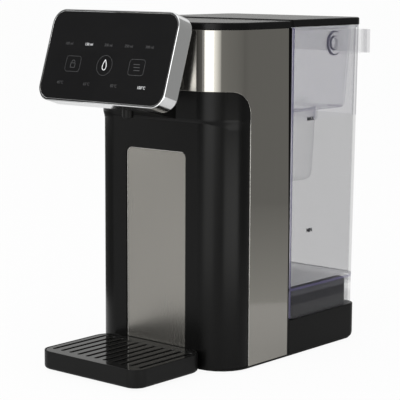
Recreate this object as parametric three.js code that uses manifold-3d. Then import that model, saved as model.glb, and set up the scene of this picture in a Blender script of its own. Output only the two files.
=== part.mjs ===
// Instant hot water dispenser: a steel-wrapped column with a tilted touch head, a lift-off clear tank on
// a dock behind it, and a pull-out drip tray in front. Millimetres, +X to the right, +Y to the rear, +Z up.

import * as THREE from 'three';
import { mergeVertices } from 'three/addons/utils/BufferGeometryUtils.js';
import Module from 'manifold-3d';

const wasm = await Module();
wasm.setup();

// Overall sizes
const bodyWidth = 163.4;
const columnDepth = 89;
const columnTop = 303.4;
const frontRadius = 30;
const proudDepth = 3;
const creaseDrop = 78.9;
const creaseRise = 5;

// Walls and clearances that the whole body shares
const gap = 0.3;
const slideGap = 0.6;
const overrun = 5;
const sheet = 1;
const wall = 2.2;
const floorWall = 2;

// Base plate, feet and base screws
const footHeight = 2;
const footRadius = 8;
const footStemRadius = 3;
const footInset = 17;
const baseFlange = 1.5;
const baseRaise = 2;
const baseRear = 201.4;
const rearRadius = 12;
const screwRadius = 1.5;
const screwHeadRadius = 3.2;
const screwHeadHeight = 1.6;
const screwLength = 14;
const bossOverlapShare = 0.6;
const screwFromEnd = 42;
const bossRadius = 4.5;
const bossHeight = 16;
const ventCount = 6;
const ventWidth = 3;
const ventLength = 26;
const ventPitch = 7;

// Steel wrap, its arch and the splash plate
const archDepth = 32.5;
const archDrop = 53.4;
const archRadius = 22;
const splashWidth = 71;
const wrapLean = 3.3;
const wrapLeanDrop = 183.4;
const splashDrop = 107.9;
const splashBottom = 12;
const splashRadius = 5.5;
const splashSheet = 0.8;
const splashProud = 0.2;

// Top cover and tank lid
const rimHeight = 6.2;
const lidHeight = 6.9;
const lidRaise = 0.4;
const lidOverhang = 1;
const edgeRadius = 1.5;
const lipDepth = 4;
const splitBehind = 1;

// Rear wall of the column
const rearFlange = 1.5;
const rearStep = 4;
const passWidth = 76;
const passHeight = 26;

// Head: tilted slab, glass, board and neck
const headWidth = 149.2;
const headHeight = 83;
const headThickness = 18;
const headRadius = 14;
const headTilt = 17.88;
const headCentreForward = 63.55;
const headDrop = 22.95;
const bezelWidth = 1.9;
const glassThickness = 1.2;
const boardThickness = 1.6;
const ledgeWidth = 2.4;
const headBack = 2;
const neckWidth = 52;
const neckDrop = 2.3;
const neckTopDrop = 22;
const cableWidth = 28;
const cableHeight = 34;

// Spout nozzle
const nozzleForward = 37.4;
const nozzleDrop = 77.1;
const nozzleRadius = 5;
const nozzleBore = 2.6;
const nozzleFlange = 8;
const nozzleFlangeHeight = 2;
const barbRadius = 3.4;
const barbLength = 8;

// Drip tray and grille
const trayWidth = 119;
const trayDepth = 91;
const trayTop = 19.4;
const trayBottom = 2.6;
const trayRadius = 13;
const trayEdge = 3;
const rimWidth = 2.5;
const ledgeDrop = 2.6;
const grilleThickness = 2;
const slotCount = 11;
const slotPitch = 10.3;
const slotWidth = 3.6;
const slotMargin = 8;
const tongueWidth = 14;
const tongueLength = 12;
const tongueThickness = 3;
const tongueSpread = 60;
const tongueHeight = 7.4;
const padRadius = 6;
const padInset = 16;
const padStem = 2;

// Dock behind the column
const dockTop = 35.4;
const dockEdge = 5.5;
const pedestalTop = 60.6;
const pedestalInset = 6;
const pedestalRear = 194.4;
const pedestalRadius = 10;
const pedestalEdge = 2;
const glandRadius = 7;
const glandBore = 3.4;
const glandLip = 1.4;
const glandSide = 48;
const glandHeight = 20;

// Tank
const tankWall = 2.5;
const tankRear = 203;
const tankFrontRadius = 5;
const tankRearTaper = 4.5;
const tankSideTaper = 0.8;
const tankFloor = 62;
const tankFloorWall = 3;
const skirtRadius = 6;
const rebateWidth = 1.2;
const rebateDepth = 2;

// Funnel tray and filter in the top of the tank
const funnelDepth = 76.5;
const funnelSideInset = 4;
const funnelFrontInset = 4;
const funnelRearInset = 3.5;
const funnelTaper = 6;
const funnelSideTaper = 3.8;
const funnelRadius = 9;
const funnelEdge = 5;
const funnelWall = 2;
const flangeThickness = 1.6;
const filterSide = 33;
const filterBack = 146.5;
const filterRadius = 28;
const filterTaper = 2.6;
const filterDrop = 145.9;
const filterEdge = 7;
const filterFlange = 3;
const filterHead = 12;
const collarHeight = 10;
const filterSlots = 8;
const filterSlotWidth = 3;
const filterSlotDepth = 4;
const filterKnobRadius = 8;
const filterKnobHeight = 7;

// Tank valve and its coupler in the dock
const valveBack = 125;
const valveRadius = 10;
const valveWall = 2;
const valveBottom = 50;
const valveSeat = 2;
const valveMouth = 5;
const valveFlange = 4;
const valveFlangeHeight = 2;
const cageHeight = 9;
const bridgeHeight = 2;
const cageWindows = 4;
const windowWidth = 7;
const poppetRadius = 6.6;
const poppetThickness = 2.5;
const poppetLift = 3;
const stemRadius = 1.8;
const stemOver = 2;
const springRadius = 4.6;
const wireRadius = 0.5;
const springTurns = 5;
const ringRadius = 1;
const ringHeight = 54.5;
const wellRadius = 15;
const wellDepth = 16.6;
const wellWall = 2.2;
const outletRadius = 3;
const outletLength = 5;
const sealHeight = 2.5;
const sealDrop = 1.5;
const pinRadius = 1.6;
const spiderThickness = 2;
const spiderHoles = 6;
const spiderHoleRadius = 2.4;

// Tank handle
const handleBack = 151.5;
const handleDrop = 15.4;
const handleReach = 64.5;
const strapHeight = 22;
const strapThickness = 3;
const handleRadius = 10;
const pivotRadius = 5;
const pivotDisc = 11.8;

// Flow heater, its sensors and bracket
const heaterSide = 30;
const heaterBack = 50;
const heaterRadius = 16;
const heaterBottom = 112;
const heaterDrop = 71.4;
const capRadius = 19;
const capHeight = 12;
const capSkirt = 8;
const saddleHeight = 12;
const saddleSheet = 2;
const saddleFromEnd = 30;
const cutoutRadius = 7;
const cutoutDepth = 5;
const cutoutDrop = 46;
const sensorRadius = 2.2;
const sensorLength = 10;

// Power board
const boardMargin = 12;
const boardWidth = 58;
const boardHeight = 130;
const boardBottom = 105;
const standoff = 6;
const standoffRadius = 3.5;
const standoffInset = 6;
const relayWidth = 20;
const relayDepth = 14;
const relayHeight = 26;
const capacitorRadius = 7;
const capacitorLength = 18;
const sinkWidth = 34;
const sinkDepth = 16;
const sinkHeight = 40;
const sinkBase = 3;
const finCount = 6;
const finThickness = 1.6;

// Pump in the dock
const pumpSide = 26;
const pumpFromRear = 36.4;
const pumpHeight = 27;
const pumpRadius = 15;
const pumpLength = 20;
const chamberRadius = 11;
const chamberLength = 10;
const motorRadius = 12;
const motorLength = 34;
const shaftRadius = 1.6;
const rotorGap = 0.6;
const vaneCount = 6;
const vaneThickness = 1.4;
const hubRadius = 4;
const portRadius = 3.4;
const portLength = 6;
const cradleWidth = 12;

// Hoses
const hoseRadius = 4;
const hoseSides = 8;
const hoseSteps = 16;

// Fineness of the curves
const cornerSteps = 8;
const edgeSteps = 3;
const fineSteps = 2;
const plainSteps = 6;
const roundSteps = 24;
const smallSteps = 12;
const valveSteps = 16;
const coilSteps = 8;
const coilSides = 5;
const weld = 1e-4;

// Sizes that follow from those above
const halfWidth = bodyWidth / 2;
const creaseHeight = columnTop - creaseDrop;
const archTop = columnTop - archDrop;
const splashTop = columnTop - splashDrop;
const coverSplit = columnDepth + splitBehind;
const headCentreHeight = columnTop - headDrop;
const nozzleTip = columnTop - nozzleDrop;
const filterBottom = columnTop - filterDrop;
const handleHeight = columnTop - handleDrop;
const heaterTop = columnTop - heaterDrop;
const cutoutHeight = heaterTop - cutoutDrop;
const saddleSpread = heaterTop - heaterBottom - 2 * saddleFromEnd;
const pumpBack = baseRear - pumpFromRear;
const boardSide = boardWidth / 2 + boardMargin - halfWidth;
const skirtBottom = dockTop + gap;
const flangeTop = footHeight + baseFlange;
const shellBottom = flangeTop + gap;
const plateTop = flangeTop + baseRaise;
const shellTop = columnTop - gap;
const rearPlate = columnDepth + gap;
const tankFront = rearPlate + rearFlange + slideGap;
const lidBottom = columnTop + lidRaise;
const tankTop = lidBottom - gap;
const tilt = THREE.MathUtils.degToRad(headTilt);
const coreInset = sheet + gap;
const coreWall = coreInset + wall;
const quarter = Math.PI / 2;
const turn = Math.PI * 2;

// Finishes
const finishes = {
  blackPlastic: { color: 0x1d1d1c, roughness: 0.42, metalness: 0 },
  blackGloss: { color: 0x171718, roughness: 0.14, metalness: 0 },
  brushedSteel: { color: 0x8d8a82, roughness: 0.34, metalness: 1 },
  satinSilver: { color: 0xc9cbcb, roughness: 0.28, metalness: 1 },
  touchGlass: { color: 0x1a1a1b, roughness: 0.06, metalness: 0 },
  clearPlastic: { color: 0xb9b9c6, roughness: 0.08, metalness: 0, transparent: true, opacity: 0.35 },
  frostedPlastic: { color: 0xc9c9cf, roughness: 0.35, metalness: 0, transparent: true, opacity: 0.7 },
  whitePlastic: { color: 0xe4e4e2, roughness: 0.45, metalness: 0 },
  darkPlastic: { color: 0x3a3a3c, roughness: 0.5, metalness: 0 },
  rubber: { color: 0x222222, roughness: 0.8, metalness: 0 },
  silicone: { color: 0xd8d6cf, roughness: 0.55, metalness: 0 },
  steel: { color: 0xa8a8a6, roughness: 0.3, metalness: 1 },
  aluminium: { color: 0xb9bbbd, roughness: 0.4, metalness: 1 },
  circuitBoard: { color: 0x1f5a38, roughness: 0.55, metalness: 0 },
};

// Closed geometry to a solid: shared corners merged, faces of no area dropped, faces turned outwards
function solid(geometry) {
  const bare = new THREE.BufferGeometry();
  bare.setAttribute('position', geometry.getAttribute('position'));
  bare.setIndex(geometry.index);
  const merged = mergeVertices(bare, weld);
  const places = merged.getAttribute('position');
  const corners = merged.index.array;
  const kept = [];
  const [a, b, c] = [new THREE.Vector3(), new THREE.Vector3(), new THREE.Vector3()];
  let volume = 0;
  for (let i = 0; i < corners.length; i += 3) {
    const [p, q, r] = [corners[i], corners[i + 1], corners[i + 2]];
    if (p !== q && q !== r && p !== r) {
      kept.push([p, q, r]);
      a.fromBufferAttribute(places, p);
      b.fromBufferAttribute(places, q);
      c.fromBufferAttribute(places, r);
      volume += a.dot(b.cross(c));
    }
  }
  const faces = volume < 0 ? kept.map(([p, q, r]) => [p, r, q]) : kept;
  return new wasm.Manifold(new wasm.Mesh({
    numProp: 3,
    vertProperties: new Float32Array(places.array),
    triVerts: Uint32Array.from(faces.flat()),
  }));
}

function cut(body, ...tools) {
  return tools.reduce((left, tool) => left.subtract(tool), body);
}

function join(...bodies) {
  return bodies.reduce((left, body) => left.add(body));
}

function meshOf(name, body, finish) {
  const { vertProperties, triVerts } = body.getMesh();
  const geometry = new THREE.BufferGeometry();
  geometry.setAttribute('position', new THREE.BufferAttribute(new Float32Array(vertProperties), 3));
  geometry.setIndex(new THREE.BufferAttribute(new Uint32Array(triVerts), 1));
  geometry.computeVertexNormals();
  const mesh = new THREE.Mesh(geometry, new THREE.MeshStandardMaterial(finishes[finish]));
  mesh.name = name;
  return mesh;
}

// Corners given as [x, y, radius], anticlockwise, to an outline with each corner rounded
function rounded(corners, steps = cornerSteps) {
  return corners.flatMap(([x, y, radius], i) => {
    const here = new THREE.Vector2(x, y);
    if (!radius) {
      return [here];
    }
    const [beforeX, beforeY] = corners.at(i - 1);
    const [afterX, afterY] = corners[(i + 1) % corners.length];
    const back = new THREE.Vector2(beforeX - x, beforeY - y).normalize();
    const ahead = new THREE.Vector2(afterX - x, afterY - y).normalize();
    const half = Math.acos(THREE.MathUtils.clamp(back.dot(ahead), -1, 1)) / 2;
    const inward = back.clone().add(ahead).normalize();
    const centre = here.clone().addScaledVector(inward, radius / Math.sin(half));
    const start = here.clone().addScaledVector(back, radius / Math.tan(half));
    const sweep = -Math.sign(back.cross(ahead)) * (Math.PI - 2 * half);
    return Array.from({ length: steps + 1 }, (_, k) => start.clone().rotateAround(centre,
      (sweep * k) / steps));
  });
}

function rectangle(left, right, front, back, radius = 0, steps = cornerSteps) {
  return rounded([[left, front, radius], [right, front, radius], [right, back, radius],
    [left, back, radius]], steps);
}

function extruded(outline, bottom, top) {
  const geometry = new THREE.ExtrudeGeometry(new THREE.Shape(outline),
    { depth: top - bottom, bevelEnabled: false });
  return geometry.translate(0, 0, bottom);
}

function prism(outline, bottom, top) {
  return solid(extruded(outline, bottom, top));
}

// A side profile of [y, z] points drawn out across the width
function sideways(profile, left, right) {
  const geometry = extruded(profile, left, right);
  const toSide = new THREE.Matrix4().makeBasis(
    new THREE.Vector3(0, 1, 0),
    new THREE.Vector3(0, 0, 1),
    new THREE.Vector3(1, 0, 0),
  );
  return solid(geometry.applyMatrix4(toSide));
}

function block(left, right, front, back, bottom, top) {
  const geometry = new THREE.BoxGeometry(right - left, back - front, top - bottom);
  return solid(geometry.translate((left + right) / 2, (front + back) / 2, (bottom + top) / 2));
}

// Levels given as [outline, height], joined by straight sides
function loft(levels) {
  const count = levels[0][0].length;
  const places = levels.flatMap(([outline, height]) => outline.flatMap((p) => [p.x, p.y, height]));
  const faces = [];
  for (let level = 0; level + 1 < levels.length; level += 1) {
    for (let i = 0; i < count; i += 1) {
      const here = level * count + i;
      const next = level * count + ((i + 1) % count);
      faces.push(here, next, next + count, here, next + count, here + count);
    }
  }
  const topStart = (levels.length - 1) * count;
  THREE.ShapeUtils.triangulateShape(levels[0][0], []).forEach(([p, q, r]) => faces.push(p, r, q));
  THREE.ShapeUtils.triangulateShape(levels.at(-1)[0], []).forEach((face) => {
    faces.push(...face.map((corner) => corner + topStart));
  });
  const geometry = new THREE.BufferGeometry();
  geometry.setAttribute('position', new THREE.Float32BufferAttribute(places, 3));
  geometry.setIndex(faces);
  return solid(geometry);
}

// A prism whose outline follows an inset and a height, with its bottom and top edges rounded
function softPrism(outlineAt, bottom, top, lowRadius, highRadius) {
  const bend = (radius) => {
    if (radius > edgeRadius) {
      return edgeSteps;
    }
    return radius > 0 ? fineSteps : 0;
  };
  const low = Array.from({ length: bend(lowRadius) + 1 }, (_, k) => {
    const angle = bend(lowRadius) ? (quarter * k) / bend(lowRadius) : quarter;
    const height = bottom + lowRadius * (1 - Math.cos(angle));
    return [outlineAt(lowRadius * (1 - Math.sin(angle)), height), bend(lowRadius) ? height : bottom];
  });
  const high = Array.from({ length: bend(highRadius) + 1 }, (_, k) => {
    const angle = bend(highRadius) ? (quarter * k) / bend(highRadius) : 0;
    const height = top - highRadius * (1 - Math.sin(angle));
    return [outlineAt(highRadius * (1 - Math.cos(angle)), height), bend(highRadius) ? height : top];
  });
  return loft([...low, ...high]);
}

// A closed profile of [radius, height] points turned about a vertical axis
function turned(profile, x, y, steps = roundSteps) {
  const points = [...profile, profile[0]].map(([radius, height]) => new THREE.Vector2(radius, height));
  const geometry = new THREE.LatheGeometry(points, steps).rotateX(quarter);
  return solid(geometry.translate(x, y, 0));
}

function rod(radius, x, y, bottom, top, steps = roundSteps) {
  return turned([[0, bottom], [radius, bottom], [radius, top], [0, top]], x, y, steps);
}

// A rod along X
function crossRod(radius, left, right, y, z, steps = roundSteps) {
  const geometry = new THREE.CylinderGeometry(radius, radius, right - left, steps).rotateZ(quarter);
  return solid(geometry.translate((left + right) / 2, y, z));
}

// A rod along Y
function deepRod(radius, front, back, x, z, steps = smallSteps) {
  const geometry = new THREE.CylinderGeometry(radius, radius, back - front, steps);
  return solid(geometry.translate(x, (front + back) / 2, z));
}

function circle(radius, sides) {
  return Array.from({ length: sides }, (_, k) => {
    const angle = (turn * k) / sides;
    return new THREE.Vector2(radius * Math.cos(angle), radius * Math.sin(angle));
  });
}

function hose(places) {
  const path = new THREE.CatmullRomCurve3(places.map((place) => new THREE.Vector3(...place)), false,
    'centripetal');
  const section = new THREE.Shape(circle(hoseRadius, hoseSides));
  return solid(new THREE.ExtrudeGeometry(section,
    { steps: hoseSteps, extrudePath: path, bevelEnabled: false }));
}

// Outlines that several pieces share
function columnOutline(inset, proud, rear) {
  const side = halfWidth - inset;
  const front = inset - proud;
  const radius = frontRadius + proud - inset;
  return rounded([[-side, rear, 0], [-side, front, radius], [side, front, radius], [side, rear, 0]]);
}

function baseOutline(inset, rear) {
  const side = halfWidth - inset;
  const nose = frontRadius - inset;
  const tail = rearRadius - inset;
  return rounded([[-side, rear, tail], [-side, inset, nose], [side, inset, nose], [side, rear, tail]],
    plainSteps);
}

function tankOutline(inset, height) {
  const fall = (tankTop - height) / (tankTop - skirtBottom);
  const side = halfWidth - inset - tankSideTaper * fall;
  const front = tankFront + inset;
  const back = tankRear - inset - tankRearTaper * fall;
  const nose = Math.max(tankFrontRadius - inset, edgeRadius);
  const tail = Math.max(rearRadius - inset, edgeRadius);
  return rounded([[-side, back, tail], [-side, front, nose], [side, front, nose], [side, back, tail]],
    plainSteps);
}

function footPlaces() {
  const side = halfWidth - footInset;
  const front = footInset + footRadius;
  const back = baseRear - footInset;
  return [['front_left', -side, front], ['front_right', side, front], ['rear_left', -side, back],
    ['rear_right', side, back]];
}

function screwPlaces() {
  const side = halfWidth - coreWall - bossRadius * bossOverlapShare;
  const back = baseRear - screwFromEnd;
  return [[-side, screwFromEnd], [side, screwFromEnd], [-side, back], [side, back]];
}

// Base: a flat plate on push-in feet, held up by four screws from below
function dockRearAt(height) {
  const rise = Math.min(Math.max(height - footHeight, 0), dockEdge);
  return baseRear - dockEdge + Math.sqrt(dockEdge ** 2 - (dockEdge - rise) ** 2);
}

function basePlate() {
  const flange = loft([
    [baseOutline(gap, dockRearAt(footHeight)), footHeight],
    [baseOutline(gap, dockRearAt(flangeTop)), flangeTop],
  ]);
  const inset = coreWall + gap;
  const raised = prism(baseOutline(inset, dockRearAt(flangeTop) - inset), footHeight, plateTop);
  const stems = footPlaces().map(([, x, y]) => rod(footStemRadius + gap, x, y, 0, plateTop + overrun,
    smallSteps));
  const screws = screwPlaces().flatMap(([x, y]) => [
    rod(screwRadius + gap, x, y, 0, plateTop + overrun, smallSteps),
    rod(screwHeadRadius + gap, x, y, 0, footHeight + screwHeadHeight, smallSteps),
  ]);
  const vents = Array.from({ length: ventCount }, (_, k) => {
    const x = pumpSide + (k - (ventCount - 1) / 2) * ventPitch;
    return block(x - ventWidth / 2, x + ventWidth / 2, columnDepth / 2 - ventLength / 2,
      columnDepth / 2 + ventLength / 2, 0,
      plateTop + overrun);
  });
  const trench = block(-halfWidth, halfWidth, columnDepth, rearPlate + rearFlange + wall + 2 * gap, flangeTop,
    plateTop + overrun);
  return cut(join(flange, raised), ...stems, ...screws, ...vents, trench);
}

function foot(x, y) {
  const top = footHeight - gap;
  return turned([
    [0, 0], [footRadius - edgeRadius / 2, 0], [footRadius, edgeRadius / 2], [footRadius, top],
    [footStemRadius, top], [footStemRadius, plateTop], [0, plateTop],
  ], x, y, smallSteps);
}

function baseScrew(x, y) {
  const bottom = footHeight;
  const shoulder = bottom + screwHeadHeight - gap;
  return turned([
    [0, bottom], [screwHeadRadius, bottom], [screwHeadRadius, shoulder], [screwRadius, shoulder],
    [screwRadius, bottom + screwLength], [0, bottom + screwLength],
  ], x, y, smallSteps);
}

// A boss with a blind hole for a base screw, standing against a side wall
function screwBoss(x, y, bottom) {
  return rod(bossRadius, x, y, bottom, bottom + bossHeight, smallSteps);
}

function screwHole(x, y, bottom) {
  return rod(screwRadius + gap, x, y, bottom - overrun, bottom + bossHeight - floorWall, smallSteps);
}

// Column: the moulded cover shows through the arch that is cut in the steel wrap
function archProfile(clearance) {
  const back = archDepth - clearance;
  const top = archTop - clearance;
  const front = -proudDepth - overrun;
  const bottom = -overrun;
  return rounded([[front, bottom, 0], [back, bottom, 0], [back, top, archRadius - clearance],
    [front, top, 0]]);
}

function cableHole(extra) {
  const half = cableWidth / 2 + extra;
  const middle = headCentreHeight - cableHeight / 2;
  return block(-half, half, -proudDepth - overrun, coreWall + overrun, middle - cableHeight / 2 - extra,
    middle + cableHeight / 2 + extra);
}

function tongueBoxes(extra) {
  return [-1, 1].map((side) => {
    const middle = side * tongueSpread / 2;
    return block(middle - tongueWidth / 2 - extra, middle + tongueWidth / 2 + extra, -overrun,
      tongueLength + extra,
      tongueHeight - extra, tongueHeight + tongueThickness + extra);
  });
}

function splashOutline(extra) {
  const half = splashWidth / 2 + extra;
  const radius = splashRadius + extra;
  return rounded([
    [-half, splashBottom - extra, 0], [half, splashBottom - extra, 0],
    [half, splashTop + extra, radius], [-half, splashTop + extra, radius],
  ]);
}

// The plate's outline stands upright, so it is drawn flat and then turned up about X
function uprightPlate(outline, front, back) {
  const geometry = extruded(outline, -back, -front).rotateX(quarter);
  return solid(geometry);
}

function columnCover() {
  const core = prism(columnOutline(coreInset, 0, columnDepth - gap), shellBottom, shellTop);
  const recessed = columnOutline(0, 0, archDepth + overrun);
  const proud = columnOutline(0, proudDepth, archDepth + overrun);
  const front = loft([
    [recessed, shellBottom], [recessed, creaseHeight - creaseRise], [proud, creaseHeight], [proud, archTop],
  ]).intersect(sideways(archProfile(gap), -bodyWidth, bodyWidth));
  const hollow = prism(columnOutline(coreWall, 0, columnDepth + overrun), 0, shellTop + overrun);
  const shell = cut(join(core, front), hollow);
  const feet = screwPlaces().slice(0, 2);
  const bosses = feet.map(([x, y]) => screwBoss(x, y, plateTop + gap));
  const holes = feet.map(([x, y]) => screwHole(x, y, plateTop + gap));
  const splash = uprightPlate(splashOutline(gap), -overrun, splashSheet + gap - splashProud);
  return cut(join(shell, ...bosses), ...holes, splash, cableHole(0), ...tongueBoxes(slideGap));
}

function steelWrap() {
  const outer = prism(columnOutline(0, proudDepth, columnDepth), shellBottom, shellTop);
  const inner = prism(columnOutline(sheet, proudDepth, columnDepth + overrun), 0, shellTop + overrun);
  const lean = sideways([
    new THREE.Vector2(columnDepth, columnTop - wrapLeanDrop),
    new THREE.Vector2(columnDepth + overrun, columnTop - wrapLeanDrop),
    new THREE.Vector2(columnDepth + overrun, columnTop + overrun),
    new THREE.Vector2(columnDepth - wrapLean, columnTop + overrun),
  ], -bodyWidth, bodyWidth);
  return cut(outer, inner, lean, sideways(archProfile(0), -bodyWidth, bodyWidth), cableHole(0));
}

function splashPlate() {
  return uprightPlate(splashOutline(0), -splashProud, splashSheet - splashProud);
}

function rearWall() {
  const plate = block(-halfWidth, halfWidth, rearPlate, rearPlate + rearFlange, shellBottom, shellTop);
  const side = halfWidth - coreWall - gap;
  const step = block(-side, side, rearPlate - rearStep, rearPlate + rearFlange / 2, plateTop + gap,
    shellTop - lipDepth - gap);
  const hollow = block(-side + wall, side - wall, rearPlate - rearStep - overrun, rearPlate, plateTop + wall,
    shellTop - lipDepth - wall);
  const pass = block(-passWidth / 2, passWidth / 2, 0, tankFront, 0, plateTop + passHeight);
  const face = rearPlate + rearFlange / 2;
  const posts = boardPosts().map(([x, z]) => deepRod(standoffRadius, rearPlate - standoff, face, x, z));
  return cut(join(cut(join(plate, step), hollow), ...posts), pass);
}

function topCover() {
  const outline = (inset) => columnOutline(inset, proudDepth, coverSplit - gap - inset);
  const shell = softPrism(outline, columnTop, columnTop + rimHeight, 0, edgeRadius);
  const hollow = prism(columnOutline(coreWall + gap + wall, 0, coverSplit - coreWall - wall), 0,
    columnTop + rimHeight - wall);
  const lip = prism(columnOutline(coreWall + gap, 0, columnDepth - rearStep - gap), columnTop - lipDepth,
    columnTop + rimHeight / 2);
  return cut(join(shell, lip), hollow);
}

// Head: built flat, face up, about its centre, then tilted back
function headOutline(inset) {
  const across = headWidth / 2 - inset;
  const up = headHeight / 2 - inset;
  return rectangle(-across, across, -up, up, headRadius - inset);
}

function controlFrame() {
  const shell = softPrism(headOutline, -headThickness, 0, edgeRadius, edgeRadius / 2);
  const glassFloor = -glassThickness - gap;
  const boardFloor = glassFloor - boardThickness - gap;
  const glassSeat = prism(headOutline(bezelWidth), glassFloor, overrun);
  const boardSeat = prism(headOutline(bezelWidth + ledgeWidth), boardFloor, overrun);
  const hollow = prism(headOutline(bezelWidth + 2 * ledgeWidth), headBack - headThickness, overrun);
  const pass = prism(rectangle(-cableWidth / 2, cableWidth / 2, -cableHeight / 2, 0),
    -headThickness - overrun, 0);
  return cut(shell, glassSeat, boardSeat, hollow, pass);
}

function touchGlass() {
  return prism(headOutline(bezelWidth + gap / 2), -glassThickness, -gap / 3);
}

function touchBoard() {
  const top = -glassThickness - gap;
  return prism(headOutline(bezelWidth + ledgeWidth + gap), top - boardThickness, top);
}

// A point on the slab's back face, so far up from its middle, and so far behind the face
function behindHead(up, clearance) {
  const depth = headThickness + clearance;
  return [
    -headCentreForward + up * Math.sin(tilt) + depth * Math.cos(tilt),
    headCentreHeight + up * Math.cos(tilt) - depth * Math.sin(tilt),
  ];
}

function neckProfile() {
  const low = behindHead(neckDrop - headHeight / 2, gap);
  const high = behindHead(headHeight / 2 - neckTopDrop, gap);
  const front = -proudDepth - gap;
  return [low, [front, creaseHeight + gap], [front, high[1]], high];
}

function headNeck() {
  const [low, heel, top, high] = neckProfile();
  const half = neckWidth / 2;
  const asPoint = ([y, z]) => new THREE.Vector2(y, z);
  const outer = sideways([low, heel, top, high].map(asPoint), -half, half);
  const slope = (low[1] - heel[1]) / (heel[0] - low[0]);
  const run = overrun * 2;
  const inner = sideways([
    [low[0] - run, low[1] + wall + run * slope], [heel[0] + run, heel[1] + wall - run * slope],
    [top[0] + run, top[1] - wall], [high[0] - run * 2, high[1] - wall],
  ].map(asPoint), -half + wall, half - wall);
  const mouth = rod(nozzleRadius + gap, 0, -nozzleForward, 0, headCentreHeight, smallSteps);
  return cut(outer, inner, mouth);
}

function neckFloorAt(y) {
  const [low, heel] = neckProfile();
  return heel[1] + ((heel[0] - y) * (low[1] - heel[1])) / (heel[0] - low[0]);
}

function nozzleShoulder() {
  return neckFloorAt(-nozzleForward - nozzleFlange) + wall + gap;
}

function spoutNozzle() {
  const shoulder = nozzleShoulder();
  const crown = shoulder + nozzleFlangeHeight;
  return turned([
    [nozzleBore, nozzleTip], [nozzleRadius - edgeRadius / 2, nozzleTip],
      [nozzleRadius, nozzleTip + edgeRadius],
    [nozzleRadius, shoulder], [nozzleFlange, shoulder], [nozzleFlange, crown], [barbRadius, crown],
    [barbRadius, crown + barbLength], [nozzleBore, crown + barbLength],
  ], 0, -nozzleForward, smallSteps);
}

// Drip tray with a lift-out grille
function trayOutline(inset) {
  const side = trayWidth / 2 - inset;
  const back = -slideGap - inset;
  const nose = Math.max(trayRadius - inset, edgeRadius);
  const tail = Math.max(edgeRadius * 2 - inset, edgeRadius);
  const front = inset - trayDepth;
  return rounded([[-side, back, tail], [-side, front, nose], [side, front, nose], [side, back, tail]],
    plainSteps);
}

function padPlaces() {
  return [-1, 1].map((side) => [side * (trayWidth / 2 - padInset), padInset - trayDepth]);
}

function dripTray() {
  const shell = softPrism(trayOutline, trayBottom, trayTop, trayEdge, edgeRadius / 2);
  const seat = prism(trayOutline(rimWidth), trayTop - ledgeDrop, trayTop + overrun);
  const hollow = prism(trayOutline(rimWidth + ledgeDrop / 2), trayBottom + floorWall, trayTop + overrun);
  const tongues = [-1, 1].map((side) => {
    const middle = side * tongueSpread / 2;
    return block(middle - tongueWidth / 2, middle + tongueWidth / 2, -rimWidth, tongueLength, tongueHeight,
      tongueHeight + tongueThickness);
  });
  const stems = padPlaces().map(([x, y]) => rod(padStem + gap, x, y, 0, trayBottom + floorWall / 2,
    smallSteps));
  return cut(join(cut(shell, seat, hollow), ...tongues), ...stems);
}

function trayPad(x, y) {
  const top = trayBottom - gap;
  const stemTop = trayBottom + floorWall / 2 - gap;
  return turned([[0, 0], [padRadius, 0], [padRadius, top], [padStem, top], [padStem, stemTop],
    [0, stemTop]], x, y, smallSteps);
}

function dripGrille() {
  const bottom = trayTop - ledgeDrop + gap;
  const inset = rimWidth + gap;
  const plate = prism(trayOutline(inset), bottom, bottom + grilleThickness);
  const front = inset + slotMargin - trayDepth;
  const back = -slideGap - inset - slotMargin;
  const slots = Array.from({ length: slotCount }, (_, k) => {
    const x = (k - (slotCount - 1) / 2) * slotPitch;
    const outline = rectangle(x - slotWidth / 2, x + slotWidth / 2, front, back, slotWidth / 2, edgeSteps);
    return prism(outline, 0, trayTop + overrun);
  });
  return cut(plate, ...slots);
}

// Dock: a hollow housing whose pedestal stands inside the tank's skirt
function dockOutline(inset, height) {
  const side = halfWidth - inset;
  const front = rearPlate + rearFlange + gap + inset;
  const back = dockRearAt(height) - inset;
  const nose = edgeRadius;
  const tail = Math.max(rearRadius - inset, edgeRadius);
  return rounded([[-side, back, tail], [-side, front, nose], [side, front, nose], [side, back, tail]],
    plainSteps);
}

function pedestalOutline(inset) {
  const side = halfWidth - pedestalInset - inset;
  const front = tankFront + pedestalInset + inset;
  const radius = Math.max(pedestalRadius - inset, edgeRadius);
  return rectangle(-side, side, front, pedestalRear - inset, radius, plainSteps);
}

function dockShell() {
  const steps = Array.from({ length: edgeSteps + 1 },
    (_, k) => shellBottom + ((dockEdge - baseFlange) * k) / edgeSteps);
  const outer = loft([...steps, dockTop].map((height) => [dockOutline(0, height), height]));
  const inner = loft([...steps.map((height, k) => (k ? height : 0)), dockTop - wall].map((height) => [
    dockOutline(wall, Math.max(height, shellBottom)), height,
  ]));
  const pedestal = softPrism(pedestalOutline, dockTop - wall, pedestalTop, 0, pedestalEdge);
  const room = prism(pedestalOutline(wall), 0, pedestalTop - wall);
  return cut(join(outer, pedestal), inner, room);
}

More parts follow.
